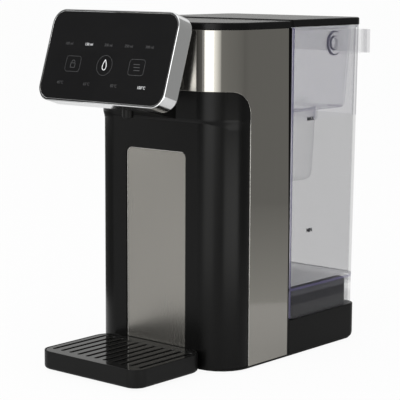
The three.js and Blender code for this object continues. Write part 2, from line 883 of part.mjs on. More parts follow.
function dockHousing() {
  const wellFloor = pedestalTop - wellDepth - floorWall;
  const well = rod(wellRadius + wellWall, 0, valveBack, wellFloor, pedestalTop - wall / 2, valveSteps);
  const outlet = rod(outletRadius + wellWall, 0, valveBack, wellFloor - outletLength,
    wellFloor + floorWall / 2, smallSteps);
  const wellHole = rod(wellRadius, 0, valveBack, wellFloor + floorWall, pedestalTop + overrun, valveSteps);
  const outletHole = rod(outletRadius, 0, valveBack, 0, pedestalTop, smallSteps);
  const tails = screwPlaces().slice(2);
  const bosses = tails.map(([x, y]) => screwBoss(x, y, plateTop + gap));
  const holes = tails.map(([x, y]) => screwHole(x, y, plateTop + gap));
  const pass = block(-passWidth / 2, passWidth / 2, columnDepth, tankFront + 2 * wall, 0,
    plateTop + passHeight);
  const gland = deepRod(glandRadius + gap, pedestalRear, baseRear + overrun, glandSide, glandHeight);
  const vents = Array.from({ length: ventCount }, (_, k) => {
    const x = -glandSide + (k - (ventCount - 1) / 2) * ventPitch;
    return block(x - ventWidth / 2, x + ventWidth / 2, pedestalRear, baseRear + overrun,
      glandHeight - ventLength / 4, glandHeight + ventLength / 4);
  });
  return cut(join(dockShell(), well, outlet, ...bosses), wellHole, outletHole, ...holes, pass, gland,
    ...vents);
}

function cordGland() {
  const inside = baseRear - wall - gap;
  const outside = baseRear + gap;
  const profile = [
    [glandBore, inside - glandLip], [glandRadius + glandLip, inside - glandLip],
      [glandRadius + glandLip, inside],
    [glandRadius, inside], [glandRadius, outside], [glandRadius + glandLip, outside],
    [glandRadius + glandLip, outside + glandLip], [glandBore, outside + glandLip],
  ];
  const points = [...profile, profile[0]].map(([radius, along]) => new THREE.Vector2(radius, along));
  return solid(new THREE.LatheGeometry(points, smallSteps).translate(glandSide, 0, glandHeight));
}

// Tank: a tapered clear vessel with a raised floor, so that its skirt hides the dock's pedestal
function tankShell() {
  const outer = loft([[tankOutline(0, skirtBottom), skirtBottom], [tankOutline(0, tankTop), tankTop]]);
  const roomBottom = tankFloor + tankFloorWall;
  const room = loft([
    [tankOutline(tankWall, roomBottom), roomBottom], [tankOutline(tankWall, tankTop), tankTop + overrun],
  ]);
  const under = loft([
    [tankOutline(tankWall, skirtBottom), skirtBottom - overrun],
      [tankOutline(tankWall, tankFloor), tankFloor],
  ]);
  const rebate = prism(tankOutline(rebateWidth, tankTop), tankTop - rebateDepth, tankTop + overrun);
  const corner = tankFront + skirtRadius;
  const heel = Array.from({ length: cornerSteps + 1 }, (_, k) => {
    const angle = (quarter * k) / cornerSteps;
    return new THREE.Vector2(corner - skirtRadius * Math.cos(angle),
      skirtBottom + skirtRadius * (1 - Math.sin(angle)));
  });
  const outside = new THREE.Vector2(tankFront - overrun, skirtBottom + skirtRadius);
  const below = [new THREE.Vector2(tankFront - overrun, 0), new THREE.Vector2(corner, 0)];
  const heelCut = sideways([outside, ...below, ...heel.reverse()], -bodyWidth, bodyWidth);
  const mouth = rod(valveRadius + gap, 0, valveBack, 0, roomBottom + overrun);
  const stub = halfWidth + slideGap + strapThickness;
  const stubs = [-1, 1].map((side) => crossRod(pivotRadius,
    Math.min(side * stub, side * (halfWidth - tankWall / 2)),
    Math.max(side * stub, side * (halfWidth - tankWall / 2)), handleBack, handleHeight, smallSteps));
  return join(cut(outer, room, under, rebate, heelCut, mouth), ...stubs);
}

function valveHousing() {
  const shelf = tankFloor + tankFloorWall + gap;
  const cage = shelf + valveFlangeHeight + cageHeight;
  const crown = cage + bridgeHeight;
  const bore = valveRadius - valveWall;
  const body = turned([
    [valveMouth, valveBottom], [valveRadius, valveBottom], [valveRadius, shelf],
    [valveRadius + valveFlange, shelf], [valveRadius + valveFlange, shelf + valveFlangeHeight],
    [valveRadius, shelf + valveFlangeHeight], [valveRadius, crown], [stemRadius + gap, crown],
    [stemRadius + gap, cage], [bore, cage], [bore, valveBottom + valveSeat],
      [valveMouth, valveBottom + valveSeat],
  ], 0, valveBack, valveSteps);
  const windows = Array.from({ length: cageWindows / 2 }, (_, k) => {
    const opening = new THREE.BoxGeometry(2 * valveRadius + overrun, windowWidth,
      cageHeight - valveFlangeHeight / 2);
    opening.rotateZ((turn * k) / cageWindows);
    return solid(opening.translate(0, valveBack, shelf + valveFlangeHeight + cageHeight / 2));
  });
  const groove = turned([
    [valveRadius - ringRadius, ringHeight - ringRadius - gap],
      [valveRadius + overrun, ringHeight - ringRadius - gap],
    [valveRadius + overrun, ringHeight + ringRadius + gap],
      [valveRadius - ringRadius, ringHeight + ringRadius + gap],
  ], 0, valveBack, valveSteps);
  return cut(body, ...windows, groove);
}

function valveRing() {
  const middle = valveRadius + gap;
  return turned(circle(ringRadius, coilSides).map((p) => [middle + p.x, ringHeight + p.y]), 0, valveBack,
    valveSteps);
}

function poppetFloor() {
  return valveBottom + valveSeat + poppetLift;
}

function bridgeFloor() {
  return tankFloor + tankFloorWall + gap + valveFlangeHeight + cageHeight;
}

function valvePoppet() {
  const low = poppetFloor();
  const top = bridgeFloor() + bridgeHeight + stemOver;
  return turned([
    [0, low - poppetLift], [stemRadius, low - poppetLift], [stemRadius, low], [poppetRadius, low],
    [poppetRadius, low + poppetThickness], [stemRadius, low + poppetThickness], [stemRadius, top], [0, top],
  ], 0, valveBack, smallSteps);
}

// The spring is one helix of round wire between the poppet and the bridge above it
class Helix extends THREE.Curve {
  constructor(radius, bottom, top, turns) {
    super();
    Object.assign(this, { radius, bottom, top, turns });
  }

  getPoint(share, target = new THREE.Vector3()) {
    const angle = turn * this.turns * share;
    const height = this.bottom + (this.top - this.bottom) * share;
    return target.set(this.radius * Math.cos(angle), this.radius * Math.sin(angle), height);
  }
}

function valveSpring() {
  const bottom = poppetFloor() + poppetThickness + gap + wireRadius;
  const top = bridgeFloor() - gap - wireRadius;
  const path = new Helix(springRadius, bottom, top, springTurns);
  const wire = new THREE.Shape(circle(wireRadius, coilSides));
  const geometry = new THREE.ExtrudeGeometry(wire, {
    steps: springTurns * coilSteps, extrudePath: path, bevelEnabled: false,
  });
  return solid(geometry.translate(0, valveBack, 0));
}

function couplerPin() {
  const wellFloor = pedestalTop - wellDepth;
  const low = wellFloor + gap;
  const top = poppetFloor() - poppetLift - gap;
  const disc = turned([
    [0, low], [wellRadius - gap, low], [wellRadius - gap, low + spiderThickness],
      [pinRadius, low + spiderThickness],
    [pinRadius, top], [0, top],
  ], 0, valveBack, valveSteps);
  const ring = (wellRadius + pinRadius) / 2;
  const holes = Array.from({ length: spiderHoles }, (_, k) => {
    const angle = (turn * k) / spiderHoles;
    return rod(spiderHoleRadius, ring * Math.cos(angle), valveBack + ring * Math.sin(angle), 0, top,
      coilSides + 1);
  });
  return cut(disc, ...holes);
}

function couplerSeal() {
  const top = pedestalTop - sealDrop;
  const inner = valveRadius + slideGap;
  const outer = wellRadius - gap;
  return turned([
    [inner, top - sealHeight], [outer, top - 2 * sealHeight], [outer, top], [inner + sealDrop, top],
  ], 0, valveBack, valveSteps);
}

// Funnel tray: hangs in the tank's rim by its flange and holds the filter in a collar
function funnelOutline(inset, height) {
  const fall = (tankTop - height) / funnelDepth;
  const side = halfWidth - tankWall - funnelSideInset - inset - funnelSideTaper * fall;
  const front = tankFront + tankWall + funnelFrontInset + inset + funnelSideTaper * fall;
  const back = tankRear - tankWall - funnelRearInset - inset - funnelTaper * fall;
  return rectangle(-side, side, front, back, funnelRadius - Math.min(inset, funnelRadius / 2), plainSteps);
}

function funnelFloor() {
  return tankTop - funnelDepth - rebateDepth;
}

function funnelTray() {
  const bottom = funnelFloor();
  const flangeBottom = tankTop - rebateDepth + gap;
  const shell = softPrism(funnelOutline, bottom, flangeBottom + flangeThickness, funnelEdge, 0);
  const flange = prism(tankOutline(rebateWidth + gap, tankTop), flangeBottom, flangeBottom + flangeThickness);
  const insideAt = (inset, height) => funnelOutline(funnelWall + inset, height);
  const hollow = softPrism(insideAt, bottom + funnelWall, tankTop + overrun, funnelEdge - funnelWall, 0);
  const collar = rod(filterRadius + gap + funnelWall, filterSide, filterBack, bottom - collarHeight,
    bottom + funnelWall);
  const well = rod(filterRadius + gap, filterSide, filterBack, bottom - collarHeight - overrun, tankTop);
  return cut(join(cut(join(shell, flange), hollow), collar), well);
}

function filterCartridge() {
  const shelf = funnelFloor() + funnelWall + gap;
  const top = shelf + filterFlange / 2;
  const crown = top + filterHead / 2;
  const low = filterRadius - filterTaper;
  const heel = Array.from({ length: edgeSteps + 1 }, (_, k) => {
    const angle = (quarter * k) / edgeSteps;
    return [low - filterEdge * (1 - Math.sin(angle)), filterBottom + filterEdge * (1 - Math.cos(angle))];
  });
  const body = turned([
    [0, filterBottom], ...heel, [filterRadius, funnelFloor() - collarHeight], [filterRadius, shelf],
    [filterRadius + filterFlange, shelf], [filterRadius + filterFlange, top], [filterRadius, top],
    [filterRadius - filterFlange, crown], [filterKnobRadius, crown],
      [filterKnobRadius, crown + filterKnobHeight],
    [0, crown + filterKnobHeight],
  ], filterSide, filterBack);
  const reach = (filterKnobRadius + filterRadius - filterFlange) / 2;
  const slots = Array.from({ length: filterSlots }, (_, k) => {
    const slot = new THREE.BoxGeometry(filterKnobRadius, filterSlotWidth, 2 * filterSlotDepth);
    slot.translate(reach, 0, crown).rotateZ((turn * k) / filterSlots);
    return solid(slot.translate(filterSide, filterBack, 0));
  });
  return cut(body, ...slots);
}

function tankLid() {
  const top = lidBottom + lidHeight;
  const outline = (inset) => {
    const side = halfWidth - inset;
    const back = tankRear + lidOverhang - inset;
    const tail = rearRadius - inset;
    const nose = edgeRadius * 2 - inset;
    return rounded([[-side, back, tail], [-side, coverSplit + inset, nose], [side, coverSplit + inset, nose],
      [side, back, tail]], plainSteps);
  };
  const shell = softPrism(outline, lidBottom, top, 0, edgeRadius);
  const lipAt = funnelOutline(funnelWall + slideGap, tankTop);
  const lipInside = funnelOutline(2 * funnelWall + slideGap, tankTop);
  const lip = prism(lipAt, lidBottom - lipDepth, lidBottom + lidHeight / 2);
  const hollow = prism(lipInside, 0, top - wall);
  return cut(join(shell, lip), hollow);
}

// Handle: a flat strap bent round the back of the tank, pivoting on the tank's stubs
function tankHandle() {
  const outer = halfWidth + slideGap + strapThickness;
  const inner = halfWidth + slideGap;
  const back = handleBack + handleReach;
  const low = handleHeight - strapHeight / 2;
  const high = handleHeight + strapHeight / 2;
  const outside = rounded([[-outer, back, handleRadius], [-outer, handleBack, 0], [outer, handleBack, 0],
    [outer, back, handleRadius]]);
  const inset = back - strapThickness;
  const inside = rounded([[-inner, inset, handleRadius - strapThickness], [-inner, handleBack - overrun, 0],
    [inner, handleBack - overrun, 0], [inner, inset, handleRadius - strapThickness]]);
  const strap = cut(prism(outside, low, high), prism(inside, low - overrun, high + overrun));
  const discs = [[-outer, -inner], [inner, outer]].map(([left, right]) => (
    crossRod(pivotDisc, left, right, handleBack, handleHeight)));
  const bore = crossRod(pivotRadius + gap, -outer - overrun, outer + overrun, handleBack, handleHeight,
    smallSteps);
  return cut(join(strap, ...discs), bore);
}

// Heater: a straight tube with a moulded cap at each end, clipped to the rear wall by a bracket
function heaterTube() {
  return rod(heaterRadius, heaterSide, heaterBack, heaterBottom, heaterTop);
}

function heaterCap(sign, end) {
  const face = end + sign * gap;
  const skirt = end - sign * capSkirt;
  const crown = end + sign * capHeight;
  const barb = crown + sign * barbLength;
  const profile = [
    [0, face], [heaterRadius + gap, face], [heaterRadius + gap, skirt], [capRadius, skirt],
    [capRadius, crown], [barbRadius, crown], [barbRadius, barb], [0, barb],
  ];
  return turned(profile, heaterSide, heaterBack, valveSteps);
}

function heaterBracket() {
  const plateBack = rearPlate - gap;
  const front = plateBack - saddleSheet;
  const middle = (heaterBottom + heaterTop) / 2;
  const inner = heaterRadius + gap;
  const outer = inner + saddleSheet;
  const half = saddleSpread / 2 + saddleHeight / 2;
  const plate = block(heaterSide - outer, heaterSide + outer, front, plateBack, middle - half, middle + half);
  const saddles = [-1, 1].map((side) => {
    const low = middle + side * saddleSpread / 2 - saddleHeight / 2;
    const ring = rod(outer, heaterSide, heaterBack, low, low + saddleHeight);
    const web = block(heaterSide - saddleSheet, heaterSide + saddleSheet, heaterBack + inner,
      front + saddleSheet / 2,
      low, low + saddleHeight);
    return join(ring, web);
  });
  const bore = rod(inner, heaterSide, heaterBack, 0, columnTop);
  const mouth = block(heaterSide - heaterRadius, heaterSide + heaterRadius, 0,
    heaterBack - heaterRadius / 2, 0, columnTop);
  return cut(join(plate, ...saddles), bore, mouth);
}

function thermalCutout() {
  const front = heaterBack - heaterRadius - gap;
  const disc = deepRod(cutoutRadius, front - cutoutDepth, front, heaterSide, cutoutHeight);
  const tabs = block(heaterSide - cutoutRadius, heaterSide + cutoutRadius, front - 2 * cutoutDepth,
    front - cutoutDepth + gap, cutoutHeight - pinRadius / 2, cutoutHeight + pinRadius / 2);
  return join(disc, tabs);
}

function outletSensor() {
  const left = heaterSide - capRadius - gap;
  const height = heaterTop + capHeight / 2;
  const probe = crossRod(sensorRadius, left - sensorLength, left, heaterBack, height, cornerSteps);
  const collar = crossRod(2 * sensorRadius, left - sensorLength / 2, left, heaterBack, height, smallSteps);
  return join(probe, collar);
}

// Power board on four posts of the rear wall
function boardPosts() {
  const side = boardWidth / 2 - standoffInset;
  return [boardBottom + standoffInset, boardBottom + boardHeight - standoffInset].flatMap((z) => (
    [boardSide - side, boardSide + side].map((x) => [x, z])));
}

function boardBack() {
  return rearPlate - standoff - gap;
}

function powerBoard() {
  const back = boardBack();
  const front = back - boardThickness;
  const left = boardSide - boardWidth / 2;
  const right = boardSide + boardWidth / 2;
  const plate = block(left, right, front, back, boardBottom, boardBottom + boardHeight);
  const relayLow = boardBottom + 2 * standoffInset;
  const relay = block(left + standoffInset, left + standoffInset + relayWidth, front - relayDepth,
    front + boardThickness / 2,
    relayLow, relayLow + relayHeight);
  const capacitor = deepRod(capacitorRadius, front - capacitorLength, front + boardThickness / 2,
    right - standoffInset - capacitorRadius, relayLow + relayHeight / 2);
  return join(plate, relay, capacitor);
}

function triacSink() {
  const back = boardBack() - boardThickness - gap;
  const low = boardBottom + boardHeight - sinkHeight - 2 * standoffInset;
  const left = boardSide - sinkWidth / 2;
  const base = block(left, left + sinkWidth, back - sinkBase, back, low, low + sinkHeight);
  const fins = Array.from({ length: finCount }, (_, k) => {
    const x = left + ((sinkWidth - finThickness) * k) / (finCount - 1);
    return block(x, x + finThickness, back - sinkDepth, back - sinkBase / 2, low, low + sinkHeight);
  });
  return join(base, ...fins);
}

// Pump in the dock: a motor drives an impeller in a round chamber, on a rubber cradle
function pumpFace() {
  return pumpSide - motorLength;
}

function pumpHead() {
  const right = pumpFace() - gap;
  const left = right - pumpLength;
  const body = crossRod(pumpRadius, left, right, pumpBack, pumpHeight);
  const chamber = crossRod(chamberRadius, right - wall - chamberLength, right - wall, pumpBack, pumpHeight);
  const neck = crossRod(shaftRadius + rotorGap, right - 2 * wall, right + overrun, pumpBack, pumpHeight,
    smallSteps);
  const inlet = crossRod(portRadius, left - portLength, left + wall, pumpBack, pumpHeight, smallSteps);
  const outlet = rod(portRadius, left + pumpLength / 2, pumpBack, pumpHeight,
    pumpHeight + pumpRadius + portLength, smallSteps);
  const inletHole = crossRod(portRadius - wall / 2, left - portLength - overrun,
    right - wall - chamberLength / 2, pumpBack,
    pumpHeight, smallSteps);
  return cut(join(body, inlet, outlet), chamber, neck, inletHole);
}

function pumpMotor() {
  const left = pumpFace();
  const can = crossRod(motorRadius, left, pumpSide, pumpBack, pumpHeight);
  const cap = crossRod(shaftRadius * 2, pumpSide - wall, pumpSide + wall, pumpBack, pumpHeight, smallSteps);
  const bore = crossRod(shaftRadius + rotorGap, left - overrun, pumpSide - motorLength / 2, pumpBack,
    pumpHeight, smallSteps);
  return cut(join(can, cap), bore);
}

function pumpRotor() {
  const right = pumpFace() - gap - wall - rotorGap;
  const left = right - chamberLength + 2 * rotorGap;
  const reach = chamberRadius - rotorGap;
  const shaft = crossRod(shaftRadius, left, pumpSide - motorLength / 2 - rotorGap, pumpBack, pumpHeight,
    smallSteps);
  const hub = crossRod(hubRadius, left, right, pumpBack, pumpHeight, smallSteps);
  const disc = crossRod(reach, right - wall / 2, right, pumpBack, pumpHeight);
  const vanes = Array.from({ length: vaneCount }, (_, k) => {
    const vane = new THREE.BoxGeometry(right - left, reach, vaneThickness);
    vane.translate((left + right) / 2, reach / 2, 0).rotateX((turn * k) / vaneCount);
    return solid(vane.translate(0, pumpBack, pumpHeight));
  });
  const round = crossRod(reach, left - overrun, right + motorLength, pumpBack, pumpHeight);
  return join(shaft, join(hub, disc, ...vanes).intersect(round));
}

function pumpCradle() {
  const left = pumpSide - motorLength / 2 - cradleWidth / 2;
  const low = plateTop + gap;
  const stand = block(left, left + cradleWidth, pumpBack - motorRadius, pumpBack + motorRadius, low,
    pumpHeight - motorRadius / 2);
  return cut(stand, crossRod(motorRadius + gap, left - overrun, left + cradleWidth + overrun, pumpBack,
    pumpHeight));
}

// Hoses, each face to face with the ports that it joins
function inletHose() {
  const top = pedestalTop - wellDepth - floorWall - outletLength - gap;
  const end = pumpFace() - gap - pumpLength - portLength - gap;
  const bend = 3 * hoseRadius;
  const low = pumpHeight - hoseRadius;
  return hose([
    [0, valveBack, top], [0, valveBack, top - hoseRadius], [-bend / 2, valveBack - hoseRadius, low],
    [end / 2, valveBack - hoseRadius, low], [end - bend / 2, valveBack + bend / 2, low],
    [end - bend, pumpBack - bend, pumpHeight], [end - bend / 2, pumpBack, pumpHeight],
      [end, pumpBack, pumpHeight],
  ]);
}

// From the pump's head over its motor, round the coupler's well and through the rear wall to the heater
function deliveryHose() {
  const start = pumpFace() - gap - pumpLength / 2;
  const top = pumpHeight + pumpRadius + portLength + gap;
  const end = heaterBottom - capHeight - barbLength - gap;
  const low = plateTop + passHeight / 2;
  const bend = 3 * hoseRadius;
  const aside = wellRadius + wellWall + bend;
  return hose([
    [start, pumpBack, top], [start, pumpBack, top + hoseRadius], [0, pumpBack - bend, top + hoseRadius / 2],
    [aside, pumpBack - 2 * bend, top - hoseRadius],
    [aside + hoseRadius, valveBack, pumpHeight + hoseRadius], [aside, tankFront + bend / 2, low],
    [heaterSide, columnDepth - bend, low], [heaterSide, heaterBack + hoseRadius, low + bend],
    [heaterSide, heaterBack, end - bend], [heaterSide, heaterBack, end],
  ]);
}

function outletHose() {
  const start = nozzleShoulder() + nozzleFlangeHeight + barbLength + gap;
  const end = heaterTop + capHeight + barbLength + gap;
  const bend = 3 * hoseRadius;
  const crest = headCentreHeight - cableHeight / 4;
  return hose([
    [0, -nozzleForward, start], [0, -nozzleForward, start + bend / 2], [0, bend - nozzleForward, crest],
    [0, -proudDepth, crest], [heaterSide / 3, heaterBack - 2 * bend, crest + hoseRadius],
    [heaterSide, heaterBack, end + bend], [heaterSide, heaterBack, end],
  ]);
}

// The dispenser, with its origin under the middle of its outline
function dispenser() {
  const root = new THREE.Group();
  const place = (name, body, finish, group = root) => group.add(meshOf(name, body, finish));
  const head = new THREE.Group();
  head.position.set(0, -headCentreForward, headCentreHeight);
  head.rotation.x = quarter - tilt;
  root.add(head);

  place('base_plate', basePlate(), 'blackPlastic');
  footPlaces().forEach(([where, x, y]) => place(`foot_${where}`, foot(x, y), 'rubber'));
  screwPlaces().forEach(([x, y], i) => place(`base_screw_${i + 1}`, baseScrew(x, y), 'steel'));
  place('dock_housing', dockHousing(), 'blackPlastic');
  place('cord_gland', cordGland(), 'rubber');
  place('column_cover', columnCover(), 'blackPlastic');
  place('steel_wrap', steelWrap(), 'brushedSteel');
  place('splash_plate', splashPlate(), 'brushedSteel');
  place('rear_wall', rearWall(), 'blackPlastic');
  place('top_cover', topCover(), 'blackGloss');

  place('control_frame', controlFrame(), 'satinSilver', head);
  place('touch_glass', touchGlass(), 'touchGlass', head);
  place('touch_board', touchBoard(), 'circuitBoard', head);
  place('head_neck', headNeck(), 'blackPlastic');
  place('spout_nozzle', spoutNozzle(), 'darkPlastic');

  place('heater_tube', heaterTube(), 'steel');
  place('heater_inlet_cap', heaterCap(-1, heaterBottom), 'darkPlastic');
  place('heater_outlet_cap', heaterCap(1, heaterTop), 'darkPlastic');
  place('heater_bracket', heaterBracket(), 'steel');
  place('thermal_cutout', thermalCutout(), 'darkPlastic');
  place('outlet_sensor', outletSensor(), 'steel');
  place('power_board', powerBoard(), 'circuitBoard');
  place('triac_heat_sink', triacSink(), 'aluminium');
  place('pump_head', pumpHead(), 'darkPlastic');
  place('pump_motor', pumpMotor(), 'steel');
  place('pump_rotor', pumpRotor(), 'whitePlastic');
  place('pump_cradle', pumpCradle(), 'rubber');
  place('inlet_hose', inletHose(), 'silicone');
  place('delivery_hose', deliveryHose(), 'silicone');
  place('outlet_hose', outletHose(), 'silicone');
  place('coupler_pin', couplerPin(), 'darkPlastic');
  place('coupler_seal', couplerSeal(), 'silicone');

  place('tank_shell', tankShell(), 'clearPlastic');
  place('valve_housing', valveHousing(), 'whitePlastic');
  place('valve_ring', valveRing(), 'silicone');
  place('valve_poppet', valvePoppet(), 'whitePlastic');
  place('valve_spring', valveSpring(), 'steel');
  place('tank_handle', tankHandle(), 'frostedPlastic');
  place('funnel_tray', funnelTray(), 'frostedPlastic');
  place('filter_cartridge', filterCartridge(), 'whitePlastic');
  place('tank_lid', tankLid(), 'blackGloss');

  place('drip_tray', dripTray(), 'blackPlastic');
  place('drip_grille', dripGrille(), 'blackPlastic');
  padPlaces().forEach(([x, y], i) => place(`tray_pad_${i ? 'right' : 'left'}`, trayPad(x, y), 'rubber'));

  root.position.y = (trayDepth - handleBack - handleReach) / 2;
  return root;
}

export default dispenser();
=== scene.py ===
"""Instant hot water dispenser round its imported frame: column, tilted touch head, clear tank and drip tray.

Lengths are metres in the frame's own axes: +X to the right, +Y to the tank behind, +Z up.
"""

import logging
import math
from collections.abc import Callable
from dataclasses import dataclass
from enum import Enum

import bmesh
import bpy
from mathutils import Matrix, Vector

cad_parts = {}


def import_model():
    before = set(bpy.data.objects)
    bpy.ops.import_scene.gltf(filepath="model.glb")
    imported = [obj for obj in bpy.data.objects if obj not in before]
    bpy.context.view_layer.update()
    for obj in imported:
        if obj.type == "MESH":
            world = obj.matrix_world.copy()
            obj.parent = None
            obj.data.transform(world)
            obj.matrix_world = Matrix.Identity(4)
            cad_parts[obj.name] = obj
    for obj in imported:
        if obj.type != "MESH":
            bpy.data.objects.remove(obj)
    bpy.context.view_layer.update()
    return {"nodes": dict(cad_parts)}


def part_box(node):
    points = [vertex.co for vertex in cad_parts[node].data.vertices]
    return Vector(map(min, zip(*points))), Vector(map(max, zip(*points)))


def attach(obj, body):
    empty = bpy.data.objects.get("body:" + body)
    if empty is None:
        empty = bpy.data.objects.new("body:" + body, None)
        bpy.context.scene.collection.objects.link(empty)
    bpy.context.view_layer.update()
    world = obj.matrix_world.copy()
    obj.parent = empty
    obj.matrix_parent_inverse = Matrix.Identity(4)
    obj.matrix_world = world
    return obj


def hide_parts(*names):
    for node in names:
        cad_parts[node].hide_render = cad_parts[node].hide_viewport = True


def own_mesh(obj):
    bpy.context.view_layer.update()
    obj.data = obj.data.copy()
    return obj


Vec = tuple[float, float, float]
Flat = tuple[float, float]
Colour = tuple[float, float, float]
Region = Callable[[Vector], bool]

# How far a cut runs past a face, a length beyond the whole object, and the side of a band without limits.
OVER = 0.005
REACH = 0.2
FAR = 9.0

# How close a point counts as on a level, and how close two points are joined.
NEAR = 0.00004
WELD = 0.000002

# The share of an edge's length that has to run along an axis, and the tilt of a face that still faces front.
MOSTLY = 0.98
SIDEWAYS = 0.3

# Widths of broken edges.
CRISP = 0.00015
FINE = 0.0002
BROKEN = 0.0003
SOFT = 0.0004
WORN = 0.0006

# Angles past which an edge is broken or shaded sharp, and how strongly large faces set the shading.
BREAK_ANGLE = math.radians(40)
SHARP_ANGLE = math.radians(35)
NORMAL_WEIGHT = 80

SIDES = (-1, 1)
QUARTER = math.pi / 2
TURN = math.pi * 2

log = logging.getLogger("dispenser")


class Axis(Enum):
    """A direction of the frame."""

    X = 0
    Y = 1
    Z = 2


class Way(Enum):
    """How one solid works on another."""

    CUT = "DIFFERENCE"
    ADD = "UNION"


# Shader graph


class Socket:
    """A number that runs between shader nodes and takes part in plain arithmetic."""

    def __init__(self, graph: "Graph", link: bpy.types.NodeSocket) -> None:
        """Keeps the graph and the node's output.

        Args:
            graph: The graph that the output belongs to.
            link: The output itself.
        """
        self.graph = graph
        self.link = link

    def __add__(self, other: "Socket | float") -> "Socket":
        """Adds a value."""
        return self.graph.math("ADD", self, other)

    def __sub__(self, other: "Socket | float") -> "Socket":
        """Takes a value away."""
        return self.graph.math("SUBTRACT", self, other)

    def __rsub__(self, other: float) -> "Socket":
        """Takes this away from a value."""
        return self.graph.math("SUBTRACT", other, self)

    def __mul__(self, other: "Socket | float") -> "Socket":
        """Multiplies by a value."""
        return self.graph.math("MULTIPLY", self, other)

    def __pow__(self, other: float) -> "Socket":
        """Raises to a power."""
        return self.graph.math("POWER", self, other)

    __radd__ = __add__
    __rmul__ = __mul__


class Graph:
    """The nodes of one material or world."""

    def __init__(self, tree: bpy.types.NodeTree) -> None:
        """Starts from an empty tree.

        Args:
            tree: The tree to fill.
        """
        self.tree = tree
        tree.nodes.clear()

    def node(self, kind: str, settings: dict[str, object], inputs: dict[str | int, object]) -> bpy.types.Node:
        """Makes one node.

        Args:
            kind: The node's type.
            settings: Its properties, set first.
            inputs: The values or links of its sockets, by name or number.

        Returns:
            The node.
        """
        made = self.tree.nodes.new(kind)
        for name, value in settings.items():
            setattr(made, name, value)
        for key, value in inputs.items():
            if isinstance(value, Socket):
                self.tree.links.new(value.link, made.inputs[key])
            elif isinstance(value, bpy.types.NodeSocket):
                self.tree.links.new(value, made.inputs[key])
            else:
                made.inputs[key].default_value = value
        return made

    def math(self, operation: str, *values: Socket | float) -> Socket:
        """Makes a Math node.

        Args:
            operation: What it does.
            values: Its operands.

        Returns:
            The result.
        """
        made = self.node("ShaderNodeMath", {"operation": operation}, dict(enumerate(values)))
        return Socket(self, made.outputs[0])

    def blend(self, share: Socket, first: object, second: object) -> bpy.types.NodeSocket:
        """Mixes two colours.

        Args:
            share: How much of the second there is.
            first: A colour or link.
            second: Another one.

        Returns:
            The mixed colour.
        """
        made = self.node("ShaderNodeMix", {"data_type": "RGBA"}, {0: share, 6: first, 7: second})
        return made.outputs[2]

    def shades(self, share: Socket, colour: Colour, tone: float) -> bpy.types.NodeSocket:
        """Mixes the darker and the lighter shade of a colour."""
        return self.blend(share, opaque(colour, 1.0 - tone), opaque(colour, 1.0 + tone))

    def place(self, stretch: Vec = (1.0, 1.0, 1.0)) -> bpy.types.NodeSocket:
        """Gives the place on the object, in metres.

        Args:
            stretch: How much it is stretched along each axis.

        Returns:
            The place.
        """
        where = self.node("ShaderNodeTexCoord", {}, {})
        made = self.node("ShaderNodeMapping", {}, {"Vector": where.outputs["Object"], "Scale": stretch})
        return made.outputs[0]

    def along(self, axis: Axis) -> Socket:
        """Gives the place on the object along one axis, in metres."""
        parts = self.node("ShaderNodeSeparateXYZ", {}, {"Vector": self.place()})
        return Socket(self, parts.outputs[axis.value])

    def noise(self, scale: float, detail: float = 2.0, stretch: Vec = (1.0, 1.0, 1.0)) -> Socket:
        """Makes cloudy noise between 0 and 1.

        Args:
            scale: Clouds per metre.
            detail: How many finer layers it has.
            stretch: How much denser it is along each axis.

        Returns:
            The noise.
        """
        inputs = {"Vector": self.place(stretch), "Scale": scale, "Detail": detail, "Roughness": 0.55}
        return Socket(self, self.node("ShaderNodeTexNoise", {}, inputs).outputs[0])

    def bump(self, height: Socket, depth: float) -> bpy.types.NodeSocket:
        """Turns a height between 0 and 1 into a bumped normal of so many metres."""
        made = self.node("ShaderNodeBump", {}, {"Height": height, "Distance": depth, "Strength": 1.0})
        return made.outputs[0]


def opaque(colour: Colour, factor: float = 1.0) -> tuple[float, float, float, float]:
    """A colour made lighter or darker, with its alpha."""
    return (*(min(part * factor, 1.0) for part in colour), 1.0)


# Finishes


@dataclass(frozen=True)
class Finish:
    """A named finish, whose material is built once."""

    name: str

    def inputs(self, graph: Graph) -> dict[str, object]:
        """Builds what feeds the shader; each finish has its own."""
        raise NotImplementedError

    def material(self) -> bpy.types.Material:
        """Gives the material, and builds it the first time.

        Returns:
            The material.
        """
        made = bpy.data.materials.get(self.name)
        if made is None:
            made = bpy.data.materials.new(self.name)
            made.use_nodes = True
            graph = Graph(made.node_tree)
            shader = graph.node("ShaderNodeBsdfPrincipled", {}, self.inputs(graph))
            graph.node("ShaderNodeOutputMaterial", {}, {"Surface": shader.outputs[0]})
        return made


@dataclass(frozen=True)
class Moulded(Finish):
    """Plastic or rubber from a mould: cloudy tone, fine grain, faint handling marks."""

    colour: Colour
    roughness: float
    spread: float = 0.06
    tone: float = 0.12
    grain: float = 1800.0
    depth: float = 0.00002
    gloss: float = 0.5
    clouds: float = 38.0
    marks: float = 160.0
    mark_stretch: Vec = (1.0, 1.0, 0.3)

    def inputs(self, graph: Graph) -> dict[str, object]:
        """Builds what feeds the shader.

        Args:
            graph: The graph to build in.

        Returns:
            The shader's inputs by name.
        """
        cloud = graph.noise(self.clouds, 3.0)
        rubbed = graph.noise(self.marks, 2.0, self.mark_stretch)
        grain = graph.noise(self.grain, 1.0)
        base = graph.shades(cloud, self.colour, self.tone)
        rough = self.roughness + (cloud + rubbed - 1.0) * self.spread
        return {
            "Base Color": base,
            "Roughness": rough,
            "Specular IOR Level": self.gloss,
            "Normal": graph.bump(grain, self.depth),
        }


